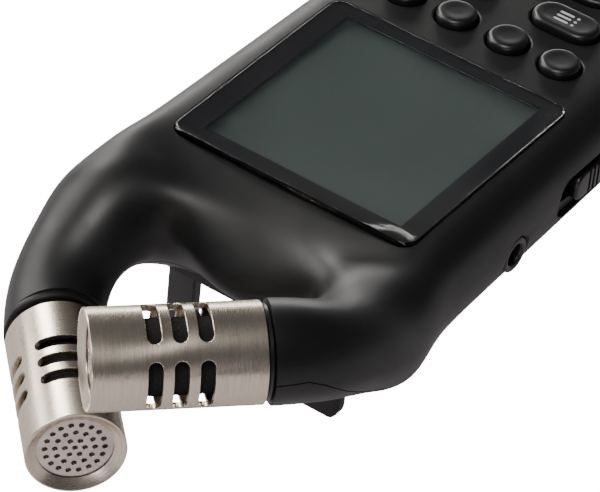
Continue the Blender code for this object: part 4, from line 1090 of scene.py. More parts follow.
    def front_cutters(self) -> list[BMesh]:
        """The window's seat and sight, and the keys' holes."""
        display, keypad = Display(), Keypad()
        sight_width, sight_length = 37.6, 39.6
        key_hole = mouth(depth=4.0, radius=0.5, clearance=0.3)
        pane_hole = mouth(depth=1.15, radius=0.18, clearance=0.22)
        seat = tower(display.width, display.length, pane_hole, display.corner)
        sight = tower(sight_width, sight_length, [(0, -4.0), (0, 1.0)], 0.6)
        cutters = [shifted(seat, 0, display.middle), shifted(sight, 0, display.sight_middle)]
        round_key, long_key = keypad.diameter, keypad.option_width
        for x in keypad.function_xs():
            hole = tower(round_key, round_key, key_hole, round_key / 2, 10)
            cutters.append(shifted(hole, x, keypad.function_y))
        for side in (-1, 1):
            hole = tower(long_key, round_key, key_hole, round_key / 2, 10)
            cutters.append(shifted(hole, side * keypad.option_x, keypad.option_y))
        hole = tower(keypad.rocker_width, keypad.rocker_length, key_hole, keypad.rocker_corner, 10)
        cutters.append(shifted(hole, 0, keypad.rocker_y))
        return cutters

    def side_cutters(self) -> list[BMesh]:
        """Openings in the flanks and the tail."""
        flanks = Flanks()
        jack = flanks.nozzle + 0.3
        lift, above = 0.1, 4.0  # how far a cutter is moved out, and how far it stands above the surface
        cutters = []
        for side, y in ((-1, flanks.jack_y), (1, flanks.line_y)):
            hole = tower(jack, jack, mouth(6.0, 0.35, 0.0, above), jack / 2, 10)
            cutters.append(self.flank(hole, side, y, flanks.jack_z, lift))
        recess_mouth = mouth(1.0, 0.5, 0.1, above)
        recess = tower(flanks.recess_height, flanks.recess_length, recess_mouth, 10.0, 10)
        cutters.append(self.flank(recess, -1, flanks.slider_y, flanks.slider_z))
        slot = tower(flanks.stem_slot_width, flanks.stem_slot_length, [(0, -5.0), (0, 1.0)], 1.3)
        cutters.append(self.flank(slot, -1, flanks.slider_y, flanks.slider_z))
        volume_mouth = mouth(5.0, 0.4, 0.28, above)
        hole = tower(flanks.volume_height, flanks.volume_length, volume_mouth, 10.0, 10)
        cutters.append(self.flank(hole, 1, flanks.volume_y, flanks.volume_z, lift))
        seat = tower(flanks.door_height, flanks.door_length, mouth(1.25, 0.2, 0.2, above), 1.0)
        cutters.append(self.flank(seat, 1, flanks.door_y, flanks.door_z, lift))
        slot = tower(flanks.card_slot_height, flanks.card_slot_length, [(0, -6.0), (0, 3.0)], 0.4)
        cutters.append(self.flank(slot, 1, flanks.door_y, flanks.door_z))
        port = turned_about(
            tower(flanks.usb_width, flanks.usb_height, mouth(6.0, 0.3, 0.22, above), 0.7), "X", QUARTER
        )
        cutters.append(shifted(port, flanks.usb_x, self.tail + 0.55, flanks.usb_z))
        return cutters

    def arm_ends(self) -> list[BMesh]:
        """What is beyond the arms' ends, with the ends' rims rounded."""
        rim = self.arm_radius - 0.35
        reach, far = 13.0, 22.0
        profile = [(0, -1.0), (rim, -1.0), (rim + 0.25, -1.1), (rim + 0.42, -1.4), (rim + 0.5, -2.0)]
        profile += [(reach, -2.0), (reach, far), (0, far)]
        return [placed(turned(profile, 48, closed=False), Microphone(side).place()) for side in (-1, 1)]

    def back_face(
        self, size: tuple[float, float], x: float, y: float, depth: float, corner: float, lip: float
    ) -> BMesh:
        """A cutter for a hole in the back.

        Args:
            size: Its size along X and Y.
            x: Where its middle is.
            y: Where its middle is.
            depth: How deep it goes.
            corner: Radius of its corners.
            lip: Radius of its rounded rim.

        Returns:
            A closed bmesh in the case's frame.
        """
        hole = tower(*size, mouth(depth, lip, 0.0), corner, 8)
        turn = Matrix.Translation((x, y, -self.depth)) @ Matrix.Rotation(math.pi, 4, "Y")
        return placed(hole, turn)

    def rear_cutters(self) -> list[BMesh]:
        """Openings in the back: battery bay, tripod socket, speaker slots, stand pocket, feet, screws."""
        back = Back()
        gap, ledge, below = 0.2, 0.6, -32.0
        edge = back.door_near + gap
        span = edge - self.tail + 10.0
        levels = [(0, -self.depth - 3.0), (0, back.door_floor - self.depth)]
        door = tower(2 * (back.door_half + gap), span, levels)
        bay_span = back.door_near - self.tail - 2 * self.wall
        levels = [(0, -self.depth - 1), (0, back.bay_depth - self.depth)]
        bay = tower(2 * (back.door_half - ledge), bay_span - 2 * ledge, levels, 1.0)
        cutters = [
            shifted(door, 0, edge - span / 2),
            shifted(bay, 0, back.door_near - ledge - bay_span / 2),
            self.back_face((9.3, 9.3), 0, back.tripod_y, depth=5.9, corner=5.0, lip=0.3),
        ]
        for index in (-1, 0, 1):
            y = back.speaker_y + back.speaker_pitch * index
            cutters.append(self.back_face((8.0, 1.4), 0, y, depth=3.0, corner=0.7, lip=0.25))
        width = 2 * back.stand_half + 1.2
        pocket = tower(width, back.pocket_length, [(0, below), (0, back.pocket_floor)], 0.8)
        cutters.append(shifted(pocket, 0, back.pocket_near - back.pocket_length / 2))
        for side in (-1, 1):
            pin = tower(2 * back.pin, 2 * back.pin, [(0, 0.0), (0, back.stand_half + 1.9)], back.pin)
            pin = turned_about(pin, "Y", side * QUARTER)
            cutters.append(shifted(pin, *CaseFrame.HINGE))
            x = side * back.foot_x
            cutters.append(self.back_face((5.6, 5.6), x, back.foot_y, depth=0.8, corner=3.0, lip=0.2))
        for x, y in back.screws():
            cutters.append(self.back_face((4.8, 4.8), x, y, depth=2.8, corner=3.0, lip=0.25))
        return cutters

    def rear_blocks(self) -> list[BMesh]:
        """Material behind the back's deep recesses."""
        back = Back()
        root, wall = 0.9 - self.depth, 0.8
        boss, boss_height, post = 12.0, 7.1, 6.4
        length = back.pocket_length + 2 * wall
        width = 2 * (back.stand_half + 2.4)
        block = tower(width, length, [(0, root), (0, back.pocket_floor + wall)])
        tripod = tower(boss, boss, [(0, root), (0, boss_height - self.depth)], boss / 2)
        blocks = [
            shifted(block, 0, back.pocket_near + wall - length / 2),
            shifted(tripod, 0, back.tripod_y),
        ]
        for x, y in back.screws():
            blocks.append(shifted(tower(post, post, [(0, root), (0, self.seam - 0.4)], post / 2), x, y))
        return blocks

    def build(self) -> None:
        """Builds both shells and the battery cover."""
        surface = rounded_cage(self.cage(0.0), self.detail + 1)
        hollow = rounded_cage(self.cage(self.wall), 2)
        gap = self.seam_gap / 2
        openings = [hollow, *self.arm_ends(), *self.side_cutters()]
        skin = carve(rounded_cage(self.cage(0.0), self.detail), openings)
        front = carve(skin.copy(), [self.seam_block(-60.0, gap), *self.front_cutters()])
        Bench.add("front_case", front, BLACK_CASE, "case", ["front_shell"], Slot.CASE, surface=surface)
        rear = carve(skin, [self.seam_block(30.0, -gap)])
        rear = carve(rear, self.rear_blocks(), "UNION")
        rear = carve(rear, self.rear_cutters())
        Bench.add("rear_case", rear, BLACK_CASE, "case", ["rear_shell"], Slot.CASE, surface=surface)
        self.build_cover(surface)
        surface.free()

    def build_cover(self, surface: BMesh) -> None:
        """The battery cover, a slice of the case's own skin with grip ribs."""
        back = Back()
        length = back.door_near - self.tail + 10.0
        levels = [(0, -self.depth - 3.0), (0, back.door_thickness - self.depth)]
        slab = tower(2 * back.door_half, length, levels, 0.5)
        shifted(slab, 0, back.door_near - length / 2)
        cover = carve(rounded_cage(self.cage(0.0), self.detail), [slab], "INTERSECT")
        grooves = []
        for index in range(3):
            y = back.door_near - 6.0 - back.groove_pitch * index
            grooves.append(self.back_face((10.0, 0.9), 0, y, depth=0.5, corner=0.45, lip=0.15))
        cover = carve(cover, grooves)
        nodes = ["battery_door"]
        Bench.add("battery_cover", cover, BLACK_CASE, "battery_door", nodes, Slot.CASE, surface=surface)


# --------------------------------------------------------------------------------------- Microphones


@dataclass
class Microphone:
    """One stereo microphone, drawn along +Z from the arm's end at 0 to its grille."""

    side: int  # -1 for the high one on the user's left, 1 for the low one on the right
    radius: float = 7.5
    length: float = 25.2
    wall: float = 0.8
    sight: float = 5.67
    slot_width: float = 2.1
    slot_pitch: float = 3.7
    slot_first: float = 8.7
    slot_arc: float = 70.0
    columns: int = 144
    hole: float = 0.4
    hole_pitch: float = 1.46
    foam_radius: float = 5.5
    foam_ends: tuple[float, float] = (1.2, 18.1)
    foam_relief: float = 0.13
    spigot: float = 5.35
    spigot_wall: float = 1.2

    @property
    def name(self) -> str:
        """left or right."""
        return "left" if self.side < 0 else "right"

    def place(self) -> Matrix:
        """Where the microphone lies in the case's frame."""
        shells = CaseShells()
        height = shells.high_z if self.side < 0 else shells.low_z
        turn = Matrix.Rotation(self.side * math.pi / 4, 4, "Z") @ Matrix.Rotation(-QUARTER, 4, "X")
        return Matrix.Translation((self.side * shells.barrel_x, 0, height)) @ turn

    def strip(self) -> BMesh:
        """The barrel's wall unrolled, with X round it, Y along it and Z out through it."""
        tip, rim = self.length, -0.14
        section = [
            (0.0, rim),
            (0.04, -0.04),
            (0.14, 0.0),
            (tip - 0.16, 0.0),
            (tip - 0.05, -0.05),
            (tip, -0.16),
            (tip, -0.34),
            (tip - 0.1, -0.46),
            (tip - 0.95, self.sight - self.radius),
            (tip - 1.05, self.sight - self.radius),
            (tip - 1.05, -self.wall),
            (0.0, -self.wall),
        ]
        bm = bmesh.new()
        face = bm.faces.new([bm.verts.new((0, y, z)) for y, z in section])
        raised = bmesh.ops.extrude_face_region(bm, geom=[face])["geom"]
        around = math.tau * self.radius
        bmesh.ops.translate(bm, vec=(around, 0, 0), verts=new_verts(raised))
        bmesh.ops.recalc_face_normals(bm, faces=bm.faces)
        slots = []
        for group in range(4):
            for row in range(3):
                arc = math.radians(self.slot_arc) * self.radius
                slot = tower(arc, self.slot_width, mouth(2.0, 0.14, 0.0, 1.0), 5.0, 8)
                middle = around * (group + 0.5) / 4
                slots.append(shifted(slot, middle, self.slot_first + row * self.slot_pitch))
        return carve(bm, slots)

    def barrel(self) -> BMesh:
        """The strip, rolled up and welded, with its unrolled coordinates kept as a UV map in millimetres."""
        bm = self.strip()
        around = math.tau * self.radius
        for column in range(1, self.columns):
            bmesh.ops.bisect_plane(
                bm,
                geom=[*bm.verts, *bm.edges, *bm.faces],
                plane_co=(around * column / self.columns, 0, 0),
                plane_no=(1, 0, 0),
                dist=ON_PLANE,
            )
        ends = [f for f in bm.faces if all(v.co.x < WELD or v.co.x > around - WELD for v in f.verts)]
        bmesh.ops.delete(bm, geom=ends, context="FACES_ONLY")
        unrolled = bm.loops.layers.uv.new("unrolled")
        for face in bm.faces:
            for loop in face.loops:
                loop[unrolled].uv = (loop.vert.co.y, loop.vert.co.x)
        for vert in bm.verts:
            angle = vert.co.x / self.radius + math.pi / 4
            reach = self.radius + vert.co.z
            vert.co = (reach * math.cos(angle), reach * math.sin(angle), vert.co.y)
        bmesh.ops.remove_doubles(bm, verts=bm.verts, dist=WELD * 5)
        bmesh.ops.recalc_face_normals(bm, faces=bm.faces)
        return bm

    def round_surface(self) -> BMesh:
        """A plain fine cylinder, for the barrel's normals."""
        bm = bmesh.new()
        bmesh.ops.create_cone(
            bm,
            cap_ends=False,
            segments=4 * self.columns,
            radius1=self.radius,
            radius2=self.radius,
            depth=60.0,
        )
        return bm

    def grille(self) -> BMesh:
        """The perforated disc behind the barrel's lip, with a hexagonal field of holes."""
        top, rim = self.length - 1.2, self.radius - self.wall - 0.2
        disc = tower(2 * rim, 2 * rim, [(0, top - 0.6), (0, top - 0.1), (-0.1, top)], rim, 16)
        holes = []
        for ring in range(4):
            count = max(6 * ring, 1)
            for step in range(count):
                angle, reach = math.tau * step / count, self.hole_pitch * ring
                hole = tower(2 * self.hole, 2 * self.hole, mouth(1.5, 0.09, 0.0, 0.6), self.hole, 5)
                holes.append(shifted(hole, reach * math.cos(angle), reach * math.sin(angle), top))
        return carve(disc, holes)

    def foam(self) -> BMesh:
        """A plug of foam with an uneven surface."""
        (base, top), radius = self.foam_ends, self.foam_radius
        rows, columns = 84, 150
        side = [(radius, base + (top - base) * row / rows) for row in range(rows + 1)]
        bm = turned([(0, base), *side, (0, top)], columns, closed=False)
        for vert in bm.verts:
            out = Vector((vert.co.x, vert.co.y, 0))
            if out.length > radius - 0.01:
                bump = noise.noise(vert.co * 2.6 + Vector((7.0 * self.side, 0, 0)))
                bump += 0.6 * noise.noise(vert.co * 5.7)
                vert.co += out.normalized() * (self.foam_relief * bump)
        return bm

    def collar(self) -> BMesh:
        """The spigot and flange that join barrel and arm."""
        flange, spigot = self.radius - 0.5, self.spigot
        profile = [
            (spigot - self.spigot_wall, -2.0),
            (spigot, -2.0),
            (spigot, -0.85),
            (flange - 0.1, -0.85),
            (flange, -0.75),
            (flange, -0.3),
            (flange - 0.1, -0.2),
            (spigot - self.spigot_wall, -0.2),
        ]
        return turned(profile, 72)

    def build(self) -> None:
        """Builds the microphone's pieces."""
        place, name = self.place(), self.name
        surface = self.round_surface()
        nodes = [f"mic_barrel_{name}"]
        Bench.add(f"barrel_{name}", self.barrel(), NICKEL, "case", nodes, Slot.NICKEL, place, 30, surface)
        surface.free()
        nodes = [f"mic_grille_{name}"]
        Bench.add(f"grille_{name}", self.grille(), NICKEL_PLAIN, "case", nodes, Slot.NICKEL, place)
        Bench.add(f"foam_{name}", self.foam(), FOAM, "case", [f"mic_foam_{name}"], Slot.FOAM, place, 180)
        nodes = [f"mic_collar_{name}"]
        Bench.add(f"collar_{name}", self.collar(), BLACK_GLOSS, "case", nodes, Slot.CASE, place)
        Bench.dress(STEEL, f"mic_capsule_{name}")


# ------------------------------------------------------------------------------------------- Display


@dataclass
class Display:
    """The window, the black print on its back, and the display under it."""

    width: float = 43.9
    length: float = 44.5
    near: float = -31.45
    corner: float = 2.3
    proud: float = 0.15
    thickness: float = 1.0
    sight_width: float = 36.0
    sight_near: float = -35.3
    sight_far: float = -73.5

    @property
    def middle(self) -> float:
        """Where the window's middle lies along the case."""
        return self.near - self.length / 2

    @property
    def sight_middle(self) -> float:
        """Where the clear part's middle lies along the case."""
        return (self.sight_near + self.sight_far) / 2

    def build(self) -> None:
        """Builds the window, its print and the display."""
        floor = self.proud - self.thickness
        levels = [(-0.1, floor), (0.0, floor + 0.1), (0.0, self.proud - 0.3), (-0.06, self.proud - 0.16)]
        levels += [(-0.24, self.proud - 0.03), (-0.34, self.proud)]
        pane = shifted(tower(self.width, self.length, levels, self.corner, 12), 0, self.middle)
        Bench.add("window_pane", pane, PANE, "case", ["display_window"], Slot.WINDOW)

        inset, print_levels = 0.3, [(0, -1.1), (0, -0.87)]
        mask = tower(self.width - inset, self.length - inset, print_levels, 2.15, 12)
        shifted(mask, 0, self.middle)
        sight_length = self.sight_near - self.sight_far
        opening = tower(self.sight_width, sight_length, [(0, -3.0), (0, 1.0)], 0.25, 4)
        mask = carve(mask, [shifted(opening, 0, self.sight_middle)])
        Bench.add("window_print", mask, BLACK_PRINT, "case", [], Slot.WINDOW)

        middle = CASE.middle("lcd_panel")
        glass = tower(39.6, 38.8, [(0, -1.1), (0, 0.75), (-0.15, 0.9)])
        film = tower(38.6, 37.8, [(0, 0.9), (0, 1.04), (-0.06, 1.1)], 0.3)
        panel = shifted(joined([glass, film]), middle.x, middle.y, middle.z)
        Bench.add("display_panel", panel, LCD, "case", ["lcd_panel"], Slot.LCD)
        Bench.dress(HOLDER, "lcd_holder")
        Bench.dress(BOARD, "main_board")


# -------------------------------------------------------------------------------------------- Keypad


@dataclass
class Keypad:
    """The keys on the front: four round, two long, and the rocker round the record key."""

    diameter: float = 6.6
    function_y: float = -84.4
    function_pitch: float = 9.7
    option_width: float = 11.7
    option_x: float = 9.4
    option_y: float = -94.4
    rocker_width: float = 28.0
    rocker_length: float = 17.0
    rocker_corner: float = 6.0
    rocker_y: float = -109.8
    record: float = 8.5
    proud: float = 1.3
    shoulder: float = 0.85
    foot: float = -3.55
    flange: float = -2.1
    flange_thickness: float = 0.6

    def function_xs(self) -> list[float]:
        """Middles of the four round keys."""
        return [self.function_pitch * (index - 1.5) for index in range(4)]

    def levels(self, proud: float, shoulder: float) -> list[tuple[float, float]]:
        """A stem, a flange behind the wall, a shank, a rounded shoulder and a slightly dished top."""
        flange, back = self.flange, self.flange - self.flange_thickness
        levels = [(-0.8, self.foot), (-0.8, back), (0.9, back), (0.9, flange), (0.0, flange)]
        levels += rounding(shoulder, proud, 7)
        dish = ((0.5, 0.02), (1.0, 0.08), (1.5, 0.11))  # in from the shoulder, down from the top
        return levels + [(-shoulder - inward, proud - down) for inward, down in dish]

    def drape(self, marks: Sequence[BMesh], key: bpy.types.Object) -> BMesh:
        """Lays thin printed marks on a key's top.

        Args:
            marks: Flat shapes in the case's frame, which are used up.
            key: The key, already in place.

        Returns:
            The marks as thin closed bodies in the case's frame.
        """
        bm = joined(marks)
        surface = bmesh.new()
        surface.from_mesh(key.data)
        placed(surface, CASE.to_world.inverted())
        tree = BVHTree.FromBMesh(surface)
        surface.free()
        sunk, thickness, above = 0.03, 0.05, 10.0
        for vert in bm.verts:
            hit = tree.ray_cast(Vector((vert.co.x, vert.co.y, above)), Vector((0, 0, -1)))[0]
            vert.co.z = hit.z - sunk
        raised = bmesh.ops.extrude_face_region(bm, geom=bm.faces[:])["geom"]
        bmesh.ops.translate(bm, vec=(0, 0, thickness), verts=new_verts(raised))
        return sealed(bm)

    def build(self) -> None:
        """Builds every key and its mark."""
        levels, corner = self.levels(self.proud, self.shoulder), self.diameter / 2
        for index, x in enumerate(self.function_xs(), 1):
            key = shifted(tower(self.diameter, self.diameter, levels, corner, 14), x, self.function_y)
            node = f"function_button_{index}"
            Bench.add(f"round_key_{index}", key, BLACK_GLOSS, node, [node], Slot.KEY)
        for name, side in (("left", -1), ("right", 1)):
            key = tower(self.option_width, self.diameter, levels, corner, 14)
            node = f"option_button_{name}"
            shifted(key, side * self.option_x, self.option_y)
            made = Bench.add(f"long_key_{name}", key, BLACK_GLOSS, node, [node], Slot.KEY)
            marks = self.list_mark() if side < 0 else self.loop_mark()
            for mark in marks:
                shifted(mark, side * self.option_x, self.option_y)
            Bench.add(f"key_mark_{name}", self.drape(marks, made), WHITE_PRINT, node, [], Slot.KEY)
        self.build_rocker()
        Bench.dress(GREY_KEY, "rocker_pivot")
        Bench.dress(MAT, "keypad_mat")

    def list_mark(self) -> list[BMesh]:
        """Three short bars, each with a dot, as a plain sign for a list."""
        marks = []
        for row in (-1, 0, 1):
            marks.append(shifted(flat(2.6, 0.5, 0.25, 4), 0.55, 1.05 * row))
            marks.append(shifted(flat(0.55, 0.55, 0.28, 4), -1.55, 1.05 * row))
        return marks

    def loop_mark(self) -> list[BMesh]:
        """A rounded square of four bars, as a plain sign for a folder."""
        marks = [shifted(flat(3.4, 0.45, 0.2, 4), 0, 1.2 * row) for row in (-1, 1)]
        return marks + [shifted(flat(0.45, 1.75, 0.2, 4), 1.5 * side, 0) for side in (-1, 1)]

    def build_rocker(self) -> None:
        """The rocker pad and the record key in its middle."""
        proud, bottom = 0.9, -1.6
        levels = [(-0.2, bottom), (0, bottom + 0.2), *rounding(0.7, proud, 6), (-1.6, proud - 0.03)]
        pad = tower(self.rocker_width, self.rocker_length, levels, self.rocker_corner, 12)
        bore = tower(self.record, self.record, mouth(4.0, 0.45, 0.45), self.record / 2, 14)
        pad = carve(pad, [shifted(bore, z=proud)])
        ridges = []
        out_x, out_y = 10.6, 6.4
        for x, y, turn in ((out_x, 0, 0), (-out_x, 0, 0), (0, out_y, QUARTER), (0, -out_y, QUARTER)):
            ridge = tower(0.7, 2.6, [(0, proud - 0.3), *rounding(0.15, proud + 0.16, 3)], 0.35, 5)
            ridges.append(shifted(turned_about(ridge, "Z", turn), x, y))
        pad = shifted(carve(pad, ridges, "UNION"), 0, self.rocker_y)
        Bench.add("rocker", pad, BLACK_GLOSS, "rocker_pad", ["rocker_pad"], Slot.KEY)
        low, high = -3.0, -2.3  # of the flange that keeps the key in
        levels = [(-1.0, self.foot), (-1.0, low), (0.5, low), (0.5, high), (0.0, high)]
        levels += [*rounding(0.8, 1.5, 7), (-1.6, 1.42), (-2.6, 1.3)]
        key = shifted(tower(self.record, self.record, levels, self.record / 2, 16), 0, self.rocker_y)
        Bench.add("record_key", key, RED_KEY, "record_button", ["record_button"], Slot.RED)


# -------------------------------------------------------------------------------------------- Flanks


@dataclass
class Flanks:
    """What sits in the case's sides and tail."""

    jack_y: float = -51.8
    jack_z: float = -10.2
    line_y: float = -70.0
    nozzle: float = 6.0
    bore: float = 3.6
    slider_y: float = -74.0
    slider_z: float = -8.6
    recess_length: float = 20.0
    recess_height: float = 6.6
    stem_slot_length: float = 15.6
    stem_slot_width: float = 2.6
    volume_y: float = -50.0
    volume_z: float = -9.6
    volume_length: float = 17.0
    volume_height: float = 5.0
    door_y: float = -92.0
    door_z: float = -8.4
    door_length: float = 17.0
    door_height: float = 5.6
    card_slot_length: float = 12.0
    card_slot_height: float = 1.8
    usb_x: float = 15.0
    usb_z: float = -9.0
    usb_width: float = 7.4
    usb_height: float = 2.8

    def build(self) -> None:
        """Builds the sockets, the slider, the volume rocker and the card's door."""
        self.build_jacks()
        self.build_slider()
        self.build_volume()
        self.build_card()
        self.build_usb()

    def build_jacks(self) -> None:
        """Two identical sockets with a rounded nozzle and a sprung contact in the bore."""
        shells = CaseShells()
        block, proud = 6.2, 0.12
        for name, side, y in (("headphone_jack", -1, self.jack_y), ("line_in_jack", 1, self.line_y)):
            body = tower(block, block, [(0, -14.0), (0, -4.0)], 0.4, 3)
            levels = [(0, -5.0), *rounding(0.35, proud)]
            nozzle = tower(self.nozzle, self.nozzle, levels, self.nozzle / 2, 12)
            body = carve(body, [nozzle], "UNION")
            bore = tower(self.bore, self.bore, mouth(13.0, 0.55, 0.0), self.bore / 2, 10)
            body = shells.flank(carve(body, [shifted(bore, z=proud)]), side, y, self.jack_z)
            Bench.add(name, body, BLACK_GLOSS, "case", [name], Slot.CASE)
            profile = [(1.5, -3.2), (1.78, -3.4), (1.78, -2.4), (1.5, -2.6)]
            ring = shells.flank(turned(profile, 40), side, y, self.jack_z)
            Bench.add(f"{name}_contact", ring, STEEL, "case", [], Slot.STEEL)

    def build_slider(self) -> None:
        """The power slider, with three grip grooves."""
        shells, top = CaseShells(), 1.4
        levels = [(-1.5, -2.6), (-1.5, 0.3), (0, 0.3), *rounding(0.5, top)]
        knob = tower(self.recess_height - 2.0, 10.0, levels, 1.8, 8)
        groove_pitch = 1.2
        grooves = [
            shifted(tower(9.0, 0.5, mouth(0.35, 0.12, 0.0, 1.0)), 0, groove_pitch * index, top)
            for index in (-1, 0, 1)
        ]
        knob = shells.flank(carve(knob, grooves), -1, self.slider_y, self.slider_z, -1.0)
        Bench.add("slider_knob", knob, BLACK_GLOSS, "power_slider", ["power_slider"], Slot.KEY)
        Bench.dress(STEEL, "slide_switch", "volume_switch")

    def build_volume(self) -> None:
        """The volume rocker, with a raised plus and minus."""
        shells, top = CaseShells(), 1.0
        levels = [(0, -2.4), *rounding(0.6, top), (-1.4, top - 0.05)]
        rocker = tower(self.volume_height, self.volume_length, levels, 2.5, 10)
        out = 5.0
        bars = []
        for y, turn in ((out, 0.0), (out, QUARTER), (-out, QUARTER)):
            bar = tower(0.4, 1.7, [(0, top - 0.4), (0, top + 0.02), (-0.06, top + 0.08)], 0.2, 4)
            bars.append(shifted(turned_about(bar, "Z", turn), 0, y))
        rocker = shells.flank(carve(rocker, bars, "UNION"), 1, self.volume_y, self.volume_z)
        Bench.add("volume_key", rocker, BLACK_GLOSS, "volume_rocker", ["volume_rocker"], Slot.KEY)

    def build_card(self) -> None:
        """The card's door with its finger notch, the card and its contacts, and the socket."""
        shells = CaseShells()
        levels = [(-0.1, -1.0), (0, -0.9), *rounding(0.3, 0.0)]
        door = tower(self.door_height, self.door_length, levels, 0.9, 6)
        notch = shifted(tower(3.4, 1.6, mouth(0.45, 0.2, 0.0, 1.0), 0.8, 6), 0, self.door_length / 2 - 1.9)
        door = shells.flank(carve(door, [notch]), 1, self.door_y, self.door_z)
        Bench.add("card_cover", door, BLACK_CASE, "card_door", ["card_door"], Slot.CASE)
        middle = CASE.middle("memory_card")
        card = tower(15.0, 11.0, [(-0.1, -0.4), (0, -0.3), (0, 0.3), (-0.1, 0.4)], 0.8, 3)
        Bench.add("card", shifted(card, *middle), CARD, "case", ["memory_card"], Slot.CARD)
        count, pitch = 6, 1.5
        pads = []
        for index in range(count):
            pad = turned_about(tower(1.0, 2.4, [(0, -0.43), (0, -0.38)], 0.1, 2), "Z", QUARTER)
            y = middle.y + pitch * (index - (count - 1) / 2)
            pads.append(shifted(pad, middle.x - 5.6, y, middle.z))
        Bench.add("card_contacts", joined(pads), GOLD, "case", [], Slot.CARD)
        Bench.dress(STEEL, "card_socket")

    def build_usb(self) -> None:
        """The port's drawn metal shell, with its tongue."""
        shells = CaseShells()
        turn = Matrix.Rotation(QUARTER, 4, "X")
        place = Matrix.Translation((self.usb_x, shells.tail + 1.1, self.usb_z)) @ turn
        shell = tower(self.usb_width, self.usb_height, [(0, -7.0), (0, -0.08), (-0.08, 0.0)], 0.6, 5)
        walls = 0.8
        hollow = tower(self.usb_width - walls, self.usb_height - walls, mouth(6.0, 0.12, 0.0), 0.3, 4)
        shell = placed(carve(shell, [hollow]), place)
        Bench.add("usb_shell", shell, STEEL, "case", ["usb_port"], Slot.STEEL)
        tongue = tower(4.6, 0.6, [(0, -6.1), (0, -1.3), (-0.1, -1.2)], 0.15, 3)
        Bench.add("usb_tongue", placed(tongue, place), BLACK_GLOSS, "case", [], Slot.STEEL)


# --------------------------------------------------------------------------------------- Back, power


